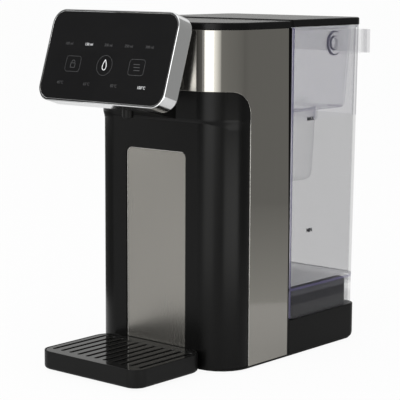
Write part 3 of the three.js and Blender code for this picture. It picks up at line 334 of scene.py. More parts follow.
@dataclass(frozen=True)
class Brushed(Finish):
    """Metal with a fine brushing along one axis."""

    colour: Colour
    roughness: float
    stretch: Vec = (1.0, 1.0, 0.006)
    lines: float = 2600.0
    tone: float = 0.04
    spread: float = 0.04
    depth: float = 0.000002
    clouds: float = 14.0
    broad_share: float = 9.0
    fine_share: float = 0.6

    def inputs(self, graph: Graph) -> dict[str, object]:
        """Builds what feeds the shader.

        Args:
            graph: The graph to build in.

        Returns:
            The shader's inputs by name.
        """
        fine = graph.noise(self.lines, 2.0, self.stretch)
        broad = graph.noise(self.lines / self.broad_share, 2.0, self.stretch)
        cloud = graph.noise(self.clouds, 2.0)
        streak = fine * self.fine_share + broad * (1.0 - self.fine_share)
        base = graph.shades(streak, self.colour, self.tone)
        return {
            "Base Color": base,
            "Metallic": 1.0,
            "Roughness": self.roughness + (streak + cloud - 1.0) * self.spread,
            "Normal": graph.bump(fine, self.depth),
        }


@dataclass(frozen=True)
class Band:
    """A box in which clear plastic has its own tint and veil, such as a wall that is looked through
    lengthwise, or a stripe of painted highlight or painted light.
    """

    low: Vec
    high: Vec
    veil: float
    colour: Colour

    def share(self, graph: Graph) -> Socket:
        """Gives 1 inside the box and 0 outside; a side as long as FAR has no limit.

        Args:
            graph: The graph to build in.

        Returns:
            The share.
        """
        inside = graph.math("ADD", 1.0, 0.0)
        for axis, low, high in zip(Axis, self.low, self.high):
            if high - low < FAR:
                inside = inside * graph.math("COMPARE", graph.along(axis), (low + high) / 2, (high - low) / 2)
        return inside


def layer(low: float, high: float, veil: float, colour: Colour) -> Band:
    """Gives a band without limits to its sides, between two heights."""
    return Band((-FAR, -FAR, low), (FAR, FAR, high), veil, colour)


def both_sides(low: Vec, high: Vec, veil: float, colour: Colour) -> tuple[Band, Band]:
    """Gives a band on the right, and its mirror image on the left."""
    mirrored = Band((-high[0], *low[1:]), (-low[0], *high[1:]), veil, colour)
    return Band(low, high, veil, colour), mirrored


@dataclass(frozen=True)
class Clear(Finish):
    """See-through plastic that is denser and more tinted where its wall is seen edge on."""

    colour: Colour
    edge: Colour
    veil: float
    rim: float = 0.75
    power: float = 3.0
    roughness: float = 0.12
    bands: tuple[Band, ...] = ()
    clouds: float = 24.0
    tone: float = 0.04
    spread: float = 0.05
    wave: float = 0.00002

    def inputs(self, graph: Graph) -> dict[str, object]:
        """Builds what feeds the shader.

        Args:
            graph: The graph to build in.

        Returns:
            The shader's inputs by name.
        """
        weight = graph.node("ShaderNodeLayerWeight", {}, {"Blend": 0.5})
        slant = Socket(graph, weight.outputs["Facing"]) ** self.power
        cloud = graph.noise(self.clouds, 2.0)
        tinted = graph.shades(cloud, self.colour, self.tone)
        base = graph.blend(slant, tinted, opaque(self.edge))
        alpha = self.veil + slant * (self.rim - self.veil)
        for band in self.bands:
            share = band.share(graph)
            base = graph.blend(share, base, opaque(band.colour))
            alpha = alpha * (1.0 - share) + share * band.veil
        return {
            "Base Color": base,
            "Roughness": self.roughness + (cloud - 0.5) * self.spread,
            "Alpha": alpha,
            "Normal": graph.bump(graph.noise(self.clouds, 1.0), self.wave),
        }


@dataclass(frozen=True)
class TouchGlass(Finish):
    """Polished black glass with a trace of smears."""

    colour: Colour = (0.0107, 0.0107, 0.011)
    roughness: float = 0.07
    gloss: float = 0.08
    tone: float = 0.1
    spread: float = 0.06
    smears: float = 30.0
    smear_stretch: Vec = (1.0, 0.5, 1.6)
    waves: float = 60.0
    wave: float = 0.00001

    def inputs(self, graph: Graph) -> dict[str, object]:
        """Builds what feeds the shader.

        Args:
            graph: The graph to build in.

        Returns:
            The shader's inputs by name.
        """
        smear = graph.noise(self.smears, 4.0, self.smear_stretch)
        base = graph.shades(smear, self.colour, self.tone)
        return {
            "Base Color": base,
            "Roughness": self.roughness + smear * self.spread,
            "Specular IOR Level": self.gloss,
            "Normal": graph.bump(graph.noise(self.waves, 1.0), self.wave),
        }


@dataclass(frozen=True)
class Lit(Finish):
    """Print that glows a little, with an uneven light behind it."""

    colour: Colour
    glow: float
    roughness: float = 0.5
    tone: float = 0.2
    specks: float = 700.0

    def inputs(self, graph: Graph) -> dict[str, object]:
        """Builds what feeds the shader.

        Args:
            graph: The graph to build in.

        Returns:
            The shader's inputs by name.
        """
        uneven = graph.noise(self.specks, 1.0)
        tone = graph.shades(uneven, self.colour, self.tone)
        return {
            "Base Color": tone,
            "Roughness": self.roughness,
            "Emission Color": tone,
            "Emission Strength": self.glow,
        }


@dataclass(frozen=True)
class Board(Finish):
    """Green circuit board with copper tracks under its lacquer."""

    colour: Colour = (0.02, 0.12, 0.05)
    track: Colour = (0.05, 0.2, 0.08)
    roughness: float = 0.3
    spread: float = 0.12
    cells: float = 260.0
    track_start: float = 0.85
    depth: float = 0.00004

    def inputs(self, graph: Graph) -> dict[str, object]:
        """Builds what feeds the shader.

        Args:
            graph: The graph to build in.

        Returns:
            The shader's inputs by name.
        """
        cells = graph.node(
            "ShaderNodeTexVoronoi",
            {"distance": "MANHATTAN", "feature": "F2"},
            {"Vector": graph.place(), "Scale": self.cells},
        )
        edge = Socket(graph, cells.outputs["Distance"])
        track = graph.math("GREATER_THAN", edge, self.track_start)
        return {
            "Base Color": graph.blend(track, opaque(self.colour), opaque(self.track)),
            "Roughness": self.roughness + track * self.spread,
            "Normal": graph.bump(track, self.depth),
        }


SATIN_BLACK = Moulded("satin_black", (0.0056, 0.0056, 0.0054), 0.37, depth=0.000001, gloss=0.12)
COVER_BLACK = Moulded("cover_black", (0.0038, 0.0038, 0.0037), 0.26, spread=0.03, depth=0.000005, gloss=0.115)
DOCK_BLACK = Moulded("dock_black", (0.0042, 0.0042, 0.0041), 0.37, depth=0.000001, gloss=0.08)
GLOSS_BLACK = Moulded("gloss_black", (0.0044, 0.0044, 0.0046), 0.2, spread=0.03, depth=0.000004, gloss=0.1)
GRILLE_BLACK = Moulded("grille_black", (0.012, 0.012, 0.0115), 0.08, spread=0.03, depth=0.000002, gloss=0.6)
STEEL = Brushed("brushed_steel_sheet", (0.285, 0.275, 0.252), 0.08, spread=0.03, depth=0.0000007)
# A brighter copy of the steel for cut edges: a painted highlight on the arch's cut faces and round the splash
# plate.
CUT_EDGE_HIGHLIGHT = Brushed("painted_highlight_cut_edge", (0.66, 0.65, 0.62), 0.45, (1.0, 1.0, 0.2), 1500.0, 0.05)
PLATE_STEEL = Brushed("brushed_splash_sheet", (0.285, 0.275, 0.252), 0.26, tone=0.07, spread=0.08)
SILVER = Brushed(
    "satin_silver_frame", (0.68, 0.685, 0.69), 0.12, (0.02, 1.0, 1.0), 2200.0, 0.03, 0.03, 0.000001
)
PLATED = Brushed("plated_steel", (0.5, 0.5, 0.49), 0.3, (1.0, 1.0, 0.05), 900.0, 0.1, 0.1)
EXTRUDED = Brushed("extruded_aluminium", (0.6, 0.61, 0.62), 0.36, (1.0, 1.0, 0.02), 1500.0, 0.1, 0.1)
GLASS = TouchGlass("black_touch_glass")
TANK = Clear(
    "clear_tank",
    (0.105, 0.103, 0.15),
    (0.07, 0.065, 0.15),
    0.13,
    bands=(
        layer(0.065, 0.2185, 0.182, (0.105, 0.104, 0.125)),
        layer(0.0, 0.048, 0.2, (0.13, 0.13, 0.14)),
        layer(0.048, 0.0565, 0.13, (0.1, 0.1, 0.12)),
        layer(0.0565, 0.0622, 0.26, (0.14, 0.14, 0.165)),
        # On each front corner: a light stripe that is a painted highlight, then a dark violet stripe behind
        # it.
        *both_sides((0.077, 0.0285, 0.0), (0.085, 0.031, 0.33), 0.8, (0.5, 0.48, 0.66)),
        *both_sides((0.077, 0.031, 0.0), (0.085, 0.0323, 0.33), 0.8, (0.085, 0.075, 0.165)),
        # The floor's top face, near white: painted light that stands in for the light falling on it.
        Band((-0.0786, 0.033, 0.0646), (0.0786, 0.137, 0.0654), 0.85, (0.9, 0.9, 0.93)),
        layer(0.0622, 0.0646, 0.55, (0.12, 0.105, 0.24)),
    ),
)
FUNNEL = Clear(
    "clear_funnel",
    (0.3, 0.27, 0.48),
    (0.2, 0.18, 0.34),
    0.042,
    rim=0.3,
    bands=(Band((0.05, -FAR, 0.2252), (FAR, FAR, 0.2268), 0.35, (0.2, 0.17, 0.4)),),
)
FILTER = Clear(
    "milky_filter",
    (0.6, 0.6, 0.66),
    (0.4, 0.4, 0.46),
    0.07,
    rim=0.35,
    bands=(layer(0.2272, FAR, 0.015, (0.6, 0.6, 0.66)),),
)
HANDLE = Clear(
    "clear_handle",
    (0.62, 0.62, 0.66),
    (0.5, 0.5, 0.56),
    0.12,
    rim=0.2,
    bands=(
        Band((0.05, -FAR, -FAR), (FAR, 0.1405, FAR), 0.07, (0.27, 0.265, 0.31)),
        Band((0.072, 0.1405, -FAR), (FAR, FAR, FAR), 0.19, (0.29, 0.28, 0.33)),
    ),
)
LIP = Clear("clear_lip", (0.5, 0.48, 0.6), (0.3, 0.28, 0.42), 0.06, rim=0.3)
# Dark crescents round the handle's pivots: painted shade.
BOSS_SHADE = Clear("painted_boss_shade", (0.05, 0.045, 0.1), (0.05, 0.045, 0.1), 0.75, rim=0.85)
WHITE = Moulded("white_plastic_parts", (0.62, 0.62, 0.64), 0.42, depth=0.00001)
DARK = Moulded("dark_plastic_parts", (0.014, 0.014, 0.0145), 0.45, gloss=0.2)
RUBBER = Moulded("matt_rubber", (0.01, 0.01, 0.01), 0.8, depth=0.00004, gloss=0.15)
SILICONE = Moulded("milky_silicone", (0.6, 0.59, 0.56), 0.5, depth=0.00001)
BOARD = Board("circuit_board_lacquer")
DIM = Lit("dim_marks", (0.055, 0.055, 0.057), 0.12)
BRIGHT = Lit("bright_marks", (0.7, 0.71, 0.72), 0.35)
INK = Moulded("scale_ink", (0.012, 0.012, 0.02), 0.5)


# Shapes


def anywhere(at: Vector) -> bool:
    """Takes in every point."""
    return True


@dataclass(frozen=True)
class Role:
    """Where a piece belongs."""

    body: str
    slot: str
    nodes: tuple[str, ...] = ()


class Solid:
    """A closed mesh under construction, shaped by operators."""

    def __init__(self) -> None:
        """Starts empty."""
        self.bm = bmesh.new()

    @classmethod
    def block(cls, low: Vec | Vector, high: Vec | Vector) -> "Solid":
        """Makes a box.

        Args:
            low: Its lowest corner.
            high: Its highest corner.

        Returns:
            The box.
        """
        made = cls()
        bmesh.ops.create_cube(made.bm, size=1.0)
        start, end = Vector(low), Vector(high)
        return made.move(Matrix.Translation((start + end) / 2) @ Matrix.Diagonal((end - start).to_4d()))

    @classmethod
    def rod(cls, radius: float, start: Vec, length: float, axis: Axis, sides: int = 64) -> "Solid":
        """Makes a round bar.

        Args:
            radius: Its radius.
            start: The middle of its low end.
            length: Its length along the axis.
            axis: The way it runs.
            sides: How many sides it has.

        Returns:
            The bar.
        """
        made = cls()
        bmesh.ops.create_cone(
            made.bm, cap_ends=True, segments=sides, radius1=radius, radius2=radius, depth=length
        )
        return made.move(Matrix.Translation((0, 0, length / 2))).stand(start, axis)

    @classmethod
    def turned(cls, profile: list[Flat], start: Vec, axis: Axis = Axis.Z, sides: int = 64) -> "Solid":
        """Spins a profile of (radius, height) points.

        Args:
            profile: The points; where the first one is on the axis, the last one is too.
            start: Where radius 0 and height 0 are.
            axis: The axis it spins about.
            sides: How many steps a turn has.

        Returns:
            The turned solid.
        """
        made = cls()
        ring = [made.bm.verts.new((radius, 0.0, height)) for radius, height in profile]
        pairs = list(zip(ring, ring[1:]))
        if profile[0][0] > 0.0:
            pairs.append((ring[-1], ring[0]))
        edges = [made.bm.edges.new(pair) for pair in pairs]
        bmesh.ops.spin(
            made.bm,
            geom=ring + edges,
            cent=(0, 0, 0),
            axis=(0, 0, 1),
            dvec=(0, 0, 0),
            angle=TURN,
            steps=sides,
            use_merge=True,
        )
        bmesh.ops.remove_doubles(made.bm, verts=made.bm.verts, dist=WELD)
        return made.stand(start, axis)

    @classmethod
    def copy_of(cls, node: bpy.types.Object) -> "Solid":
        """Copies a node of the frame, with its loose faces joined.

        Args:
            node: The node.

        Returns:
            The copy.
        """
        made = cls()
        made.bm.from_mesh(node.data)
        bmesh.ops.remove_doubles(made.bm, verts=made.bm.verts, dist=WELD)
        return made

    @classmethod
    def drawn(cls, curve: bpy.types.Curve) -> "Solid":
        """Makes the mesh of a text or a stroke, and removes its curve.

        Args:
            curve: The text or the stroke.

        Returns:
            The mesh as a solid.
        """
        made = cls()
        shown = bpy.data.objects.new(curve.name, curve)
        bpy.context.scene.collection.objects.link(shown)
        mesh = bpy.data.meshes.new_from_object(shown.evaluated_get(bpy.context.evaluated_depsgraph_get()))
        made.bm.from_mesh(mesh)
        bmesh.ops.remove_doubles(made.bm, verts=made.bm.verts, dist=WELD)
        bpy.data.objects.remove(shown)
        bpy.data.meshes.remove(mesh)
        return made

    def move(self, matrix: Matrix) -> "Solid":
        """Moves, turns or scales the whole solid.

        Args:
            matrix: What is done to it.

        Returns:
            This solid.
        """
        bmesh.ops.transform(self.bm, matrix=matrix, verts=self.bm.verts)
        bmesh.ops.recalc_face_normals(self.bm, faces=self.bm.faces)
        return self

    def stand(self, start: Vec, axis: Axis) -> "Solid":
        """Turns a solid that was made along +Z to another axis, and moves it.

        Args:
            start: The foot's place.
            axis: The way it is to run.

        Returns:
            This solid.
        """
        turns = {
            Axis.X: Matrix.Rotation(QUARTER, 4, "Y"),
            Axis.Y: Matrix.Rotation(-QUARTER, 4, "X"),
            Axis.Z: Matrix.Identity(4),
        }
        return self.move(Matrix.Translation(start) @ turns[axis])

    def place(self, across: float, up: float) -> "Solid":
        """Moves a flat solid across and up."""
        return self.move(Matrix.Translation((across, up, 0)))

    def scale_where(self, region: Region, about: Vec, factors: Vec) -> "Solid":
        """Scales part of the solid.

        Args:
            region: Which points take part.
            about: The point that stays.
            factors: The scale along each axis.

        Returns:
            This solid.
        """
        bmesh.ops.scale(
            self.bm,
            vec=factors,
            space=Matrix.Translation(-Vector(about)),
            verts=[vert for vert in self.bm.verts if region(vert.co)],
        )
        return self

    def slice(self, axis: Axis, *heights: float) -> "Solid":
        """Adds rings of edges across an axis.

        Args:
            axis: The axis.
            heights: The places along it.

        Returns:
            This solid.
        """
        for height in heights:
            middle, normal = Vector((0, 0, 0)), Vector((0, 0, 0))
            middle[axis.value] = height
            normal[axis.value] = 1.0
            geometry = [*self.bm.verts, *self.bm.edges, *self.bm.faces]
            bmesh.ops.bisect_plane(self.bm, geom=geometry, dist=WELD, plane_co=middle, plane_no=normal)
        return self

    def soften(self, radius: float, region: Region, axis: Axis | None = None, steps: int = 12) -> "Solid":
        """Rounds edges.

        Args:
            radius: The radius.
            region: Where both ends of an edge have to be.
            axis: The way the edges run, or None for any way.
            steps: How many faces the round has.

        Returns:
            This solid.
        """
        chosen = []
        for edge in self.bm.edges:
            run = edge.verts[1].co - edge.verts[0].co
            along = axis is None or abs(run[axis.value]) > MOSTLY * run.length
            if along and all(region(vert.co) for vert in edge.verts):
                chosen.append(edge)
        bmesh.ops.bevel(
            self.bm,
            geom=chosen,
            offset=radius,
            offset_type="OFFSET",
            segments=steps,
            profile=0.5,
            affect="EDGES",
            material=-1,
            clamp_overlap=True,
        )
        return self

    def uprights(self, radius: float, region: Region, steps: int = 12) -> "Solid":
        """Rounds vertical edges."""
        return self.soften(radius, region, Axis.Z, steps)

    def level(self, radius: float, height: float, steps: int = 4) -> "Solid":
        """Rounds every edge that lies at one height."""
        return self.soften(radius, lambda at: abs(at.z - height) < NEAR, None, steps)

    def shown(self) -> bpy.types.Object:
        """Puts the solid in the scene as an object.

        Returns:
            The object.
        """
        mesh = bpy.data.meshes.new("solid")
        self.bm.to_mesh(mesh)
        made = bpy.data.objects.new("solid", mesh)
        bpy.context.scene.collection.objects.link(made)
        return made

    def combine(self, way: Way, *tools: "Solid") -> "Solid":
        """Cuts solids out of this one, or adds them to it.

        Args:
            way: What is done.
            tools: The other solids, one after another.

        Returns:
            This solid.
        """
        for tool in tools:
            mine, theirs = self.shown(), tool.shown()
            modifier = mine.modifiers.new("combine", "BOOLEAN")
            modifier.operation = way.value
            modifier.solver = "EXACT"
            modifier.object = theirs
            seen = mine.evaluated_get(bpy.context.evaluated_depsgraph_get())
            result = bpy.data.meshes.new_from_object(seen)
            self.bm.clear()
            self.bm.from_mesh(result)
            for used in (mine, theirs):
                mesh = used.data
                bpy.data.objects.remove(used)
                bpy.data.meshes.remove(mesh)
            bpy.data.meshes.remove(result)
        return self

    def cut(self, *tools: "Solid") -> "Solid":
        """Cuts solids out of this one."""
        return self.combine(Way.CUT, *tools)

    def add(self, *tools: "Solid") -> "Solid":
        """Joins solids to this one."""
        return self.combine(Way.ADD, *tools)

    def with_loose(self, *others: "Solid") -> "Solid":
        """Takes in solids that don't touch this one.

        Args:
            others: The other solids.

        Returns:
            This solid.
        """
        for other in others:
            mesh = bpy.data.meshes.new("loose")
            other.bm.to_mesh(mesh)
            self.bm.from_mesh(mesh)
            bpy.data.meshes.remove(mesh)
        return self

    def piece(
        self, name: str, finish: Finish, role: Role, edge: float = BROKEN, rounds: int = 2, levels: int = 0
    ) -> bpy.types.Object:
        """Turns the solid into a finished piece that rides on its body.

        Args:
            name: The piece's name.
            finish: What it is finished in.
            role: Its body, slot and the nodes it stands for.
            edge: How wide its sharp edges are broken, or 0 for none.
            rounds: How many faces a broken edge has.
            levels: Subdivision levels, or 0 for none.

        Returns:
            The piece.
        """
        bmesh.ops.dissolve_degenerate(self.bm, edges=self.bm.edges, dist=WELD)
        made = self.shown()
        made.name = made.data.name = name
        made.data.shade_smooth()
        if levels:
            smooth = made.modifiers.new("subdivide", "SUBSURF")
            smooth.levels = smooth.render_levels = levels
        if edge:
            broken = made.modifiers.new("edges", "BEVEL")
            broken.width = edge
            broken.segments = rounds
            broken.limit_method = "ANGLE"
            broken.angle_limit = BREAK_ANGLE
            broken.profile = 0.5
            broken.use_clamp_overlap = True
            weighted = made.modifiers.new("normals", "WEIGHTED_NORMAL")
            weighted.weight = NORMAL_WEIGHT
        else:
            made.data.set_sharp_from_angle(angle=SHARP_ANGLE)
        made.data.materials.append(finish.material())
        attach(made, role.body)
        if role.nodes:
            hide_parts(*role.nodes)
        log.info("%s rides on %s", name, role.body)
        return made


def stroke(points: list[Flat], width: float, closed: bool = True) -> Solid:
    """Draws a line of even width through flat points.

    Args:
        points: The points, across and up.
        width: The width of the line.
        closed: Whether it ends where it starts.

    Returns:
        The line as a thin round bead.
    """
    curve = bpy.data.curves.new("stroke", "CURVE")
    curve.dimensions = "3D"
    curve.bevel_depth = width / 2
    curve.bevel_resolution = 2
    curve.use_fill_caps = True
    spline = curve.splines.new("POLY")
    spline.points.add(len(points) - 1)
    for point, (across, up) in zip(spline.points, points):
        point.co = (across, up, 0.0, 1.0)
    spline.use_cyclic_u = closed
    return Solid.drawn(curve)


def words(text: str, size: float, depth: float, weight: float = 0.0) -> Solid:
    """Makes raised characters about their middle.

    Args:
        text: The characters.
        size: The size of the type.
        depth: How thick they are.
        weight: How much their strokes are widened.

    Returns:
        The characters, face up.
    """
    curve = bpy.data.curves.new("words", "FONT")
    curve.body = text
    curve.size = size
    curve.extrude = depth / 2
    curve.offset = weight
    curve.align_x = "CENTER"
    curve.align_y = "CENTER"
    curve.resolution_u = 4
    return Solid.drawn(curve)


def arc_points(radius: float, step: float, count: int) -> list[Flat]:
    """Points on a circle about its middle, so many radians apart."""
    return [(radius * math.cos(step * k), radius * math.sin(step * k)) for k in range(count)]


def arc_box(half_width: float, half_height: float, radius: float, steps: int = 6) -> list[Flat]:
    """Points of a rectangle with round corners, about its middle.

    Args:
        half_width: Half its width.
        half_height: Half its height.
        radius: The radius of its corners.
        steps: How many parts each corner has.

    Returns:
        The points.
    """
    points = []
    for corner in range(4):
        right = 1 if corner in (0, 3) else -1
        up = 1 if corner in (0, 1) else -1
        for step in range(steps + 1):
            angle = QUARTER * (corner + step / steps)
            points.append(
                (
                    right * (half_width - radius) + radius * math.cos(angle),
                    up * (half_height - radius) + radius * math.sin(angle),
                )
            )
    return points


# Sub-assemblies

# The handle's axis: how far back it lies, and how high.
PIVOT: Flat = (0.089, 0.288)


def housing(slot: str, *nodes: str) -> Role:
    """Gives the role of a piece of the housing."""
    return Role("housing", slot, nodes)


def axis_of(name: str) -> Vec:
    """Gives the middle of a node of the frame, at height 0."""
    low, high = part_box(name)
    return ((low.x + high.x) / 2, (low.y + high.y) / 2, 0.0)


@dataclass
class Column:
    """Steel wrap with its arch, moulded cover, splash plate and top cover."""

    corner: float = 0.033
    proud: float = 0.003
    sheet: float = 0.001
    core: float = 0.0013
    wall: float = 0.0022
    gap: float = 0.0003
    arch_reach: float = 0.0355
    arch_top: float = 0.250
    arch_corner: float = 0.022
    crease: float = 0.2245
    crease_rise: float = 0.005
    crease_round: float = 0.0035
    side_recess: float = 0.001
    rim: float = 0.0062
    rim_edge: float = 0.0015
    lip_back: float = 0.0055
    splash_corner: float = 0.0055
    splash_edge_highlight: float = 0.0006
    lean: float = 0.0033
    lean_start: float = 0.12
    lean_end: float = 0.3084
    steps: int = 28

    def front_block(self, low: Vector, high: Vector, radius: float) -> Solid:
        """A box whose two front uprights are rounded."""
        return Solid.block(low, high).uprights(radius, lambda at: at.y < low.y + NEAR, self.steps)

    def inset(self, low: Vector, high: Vector, by: float) -> Solid:
        """The room inside a front block, open behind, above and below.

        Args:
            low: The block's lowest corner.
            high: Its highest corner.
            by: How far the room lies in from the block's outside.

        Returns:
            The room as a solid.
        """
        inner_low = Vector((low.x + by, low.y + by, low.z - OVER))
        inner_high = Vector((high.x - by, high.y + OVER, high.z + OVER))
        return self.front_block(inner_low, inner_high, self.corner - by)

    def arch(self, clearance: float) -> Solid:
        """The space of the arch, drawn across the whole width.

        Args:
            clearance: How far it stays behind and below the steel's edge.

        Returns:
            The space as a solid.
        """
        low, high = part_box("steel_wrap")
        back = low.y + self.arch_reach - clearance
        top = self.arch_top - clearance
        made = Solid.block((low.x - OVER, low.y - OVER, -OVER), (high.x + OVER, back, top))
        at_corner = lambda at: at.y > back - NEAR and at.z > top - NEAR
        return made.soften(self.arch_corner - clearance, at_corner, Axis.X, steps=20)

    def steel(self) -> None:
        """The steel sheet round the sides and the top of the front; its cut faces along the arch take a
        brighter copy of the steel, a painted highlight.
        """
        low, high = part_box("steel_wrap")
        wrap = self.front_block(low, high, self.corner)
        lean_low = (low.x - OVER, high.y, self.lean_start)
        lean = Solid.block(lean_low, (high.x + OVER, high.y + OVER, self.lean_end))
        for vert in lean.bm.verts:
            if vert.co.y < high.y + NEAR and vert.co.z > self.lean_end - NEAR:
                vert.co.y -= self.lean
        wrap.cut(self.inset(low, high, self.sheet), self.arch(0.0), lean)
        # The arch's cut faces get the second material, the brighter steel: a painted highlight.
        for face in wrap.bm.faces:
            centre = face.calc_center_median()
            behind = low.y + self.sheet < centre.y < low.y + self.arch_reach + NEAR
            in_arch = behind and centre.z < self.arch_top
            face.material_index = int(in_arch and abs(face.normal.x) < SIDEWAYS)
        sheet = wrap.piece("steel_wrap_sheet", STEEL, housing("brushed_steel", "steel_wrap"))
        sheet.data.materials.append(CUT_EDGE_HIGHLIGHT.material())

    def cover_front(self, low: Vector, high: Vector) -> Solid:
        """The part of the cover that the arch shows: flush above the crease, recessed under it.

        Args:
            low: The cover's lowest corner.
            high: Its highest corner.

        Returns:
            The solid, cut to the arch.
        """
        made = self.front_block(low, Vector((high.x, low.y + self.arch_reach, self.arch_top)), self.corner)
        bottom = self.crease - self.crease_rise
        made.slice(Axis.Z, bottom, self.crease)
        share = (self.corner - self.proud) / self.corner
        turn_x, turn_y = high.x - self.corner, low.y + self.corner
        recessed = lambda at: at.z < bottom + NEAR and at.y < turn_y
        for side in SIDES:
            region = lambda at, side=side: recessed(at) and side * at.x > turn_x - NEAR
            made.scale_where(region, (side * high.x, turn_y, 0), (share, share, 1))
        narrow = 1.0 - self.side_recess / high.x
        made.scale_where(lambda at: at.z < bottom + NEAR, (0, 0, 0), (narrow, 1, 1))
        for height in (bottom, self.crease):
            at_crease = lambda at, z=height: abs(at.z - z) < NEAR and at.y < turn_y + OVER
            made.soften(self.crease_round, at_crease, steps=4)
        outside = Solid.block((low.x - OVER, low.y - OVER, -OVER), (high.x + OVER, turn_y + REACH, 2 * REACH))
        return made.cut(outside.cut(self.arch(self.gap)))

    def cover_core(self, low: Vector, high: Vector) -> Solid:
        """The part of the cover inside the steel, trimmed to the cover's height and depth.

        Args:
            low: The cover's lowest corner.
            high: Its highest corner.

        Returns:
            The solid.
        """
        left, right, front = low.x - OVER, high.x + OVER, low.y - OVER
        trim = Solid.block((left, front, -REACH / 2), (right, REACH, low.z)).with_loose(
            Solid.block((left, front, high.z), (right, REACH, high.z + REACH / 2)),
            Solid.block((left, high.y, low.z + NEAR), (right, REACH, high.z - NEAR)),
        )
        return self.inset(low, high, self.core).cut(trim)

    def cover(self) -> None:
        """The moulded cover, hollow, with its seat for the splash plate."""
        low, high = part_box("column_cover")
        made = self.cover_front(low, high).add(self.cover_core(low, high))
        made.cut(self.inset(Vector((low.x, low.y, low.z - OVER)), high, self.core + self.wall))
        plate_low, plate_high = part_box("splash_plate")
        seat = Solid.block(
            (plate_low.x - self.gap, plate_low.y - OVER, plate_low.z - self.gap),
            (plate_high.x + self.gap, plate_high.y + self.gap, plate_high.z + self.gap),
        )
        made.cut(seat.soften(self.splash_corner, lambda at: at.z > plate_high.z, Axis.Y, steps=10))
        made.piece("column_front_cover", COVER_BLACK, housing("black_plastic", "column_cover"))

    def splash_block(self, inset: float, reach: float) -> Solid:
        """A block of the plate's outline.

        Args:
            inset: How far it lies in from the plate's edge.
            reach: How far it stands out of the plate's faces.

        Returns:
            The block.
        """
        low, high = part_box("splash_plate")
        top = high.z - inset
        start = (low.x + inset, low.y - reach, low.z + inset)
        made = Solid.block(start, (high.x - inset, high.y + reach, top))
        return made.soften(self.splash_corner - inset, lambda at: at.z > top - NEAR, Axis.Y, steps=10)

    def splash(self) -> None:
        """The steel splash plate, with a painted highlight: a band of brighter steel round its edge."""
        sheet = self.splash_block(self.splash_edge_highlight, 0.0)
        sheet.piece("splash_sheet", PLATE_STEEL, housing("brushed_steel", "splash_plate"), FINE)
        # The outer band of the plate's face, in the brighter steel: a painted highlight.
        rim = self.splash_block(0.0, 0.0).cut(self.splash_block(self.splash_edge_highlight, OVER))
        rim.piece("splash_edge_highlight", CUT_EDGE_HIGHLIGHT, housing("brushed_steel"), FINE)

    def cap(self) -> None:
        """The glossy top cover, with its lip inside the column."""
        low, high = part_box("top_cover")
        bottom = high.z - self.rim
        shell = self.front_block(Vector((low.x, low.y, bottom)), high, self.corner)
        shell.level(self.rim_edge, high.z)
        inner = self.core + self.wall + self.gap
        lip_low = Vector((low.x + inner, low.y + self.proud + inner, low.z))
        lip = Solid.block(lip_low, (high.x - inner, high.y - self.lip_back, bottom + self.rim / 2))
        shell.add(lip.uprights(self.corner - self.proud - inner, lambda at: at.y < lip_low.y + NEAR))
        room = inner + self.wall
        hollow_low = Vector((low.x + room, low.y + self.proud + room, low.z - OVER))
        hollow = Solid.block(hollow_low, (high.x - room, high.y - room - self.wall, high.z - self.wall))
        shell.cut(hollow.uprights(self.corner - self.proud - room, lambda at: at.y < hollow_low.y + NEAR))
        shell.piece("column_top_cover", GLOSS_BLACK, housing("black_gloss", "top_cover"))

    def build(self) -> None:
        """Builds the column's pieces."""
        self.steel()
        self.cover()
        self.splash()
        self.cap()


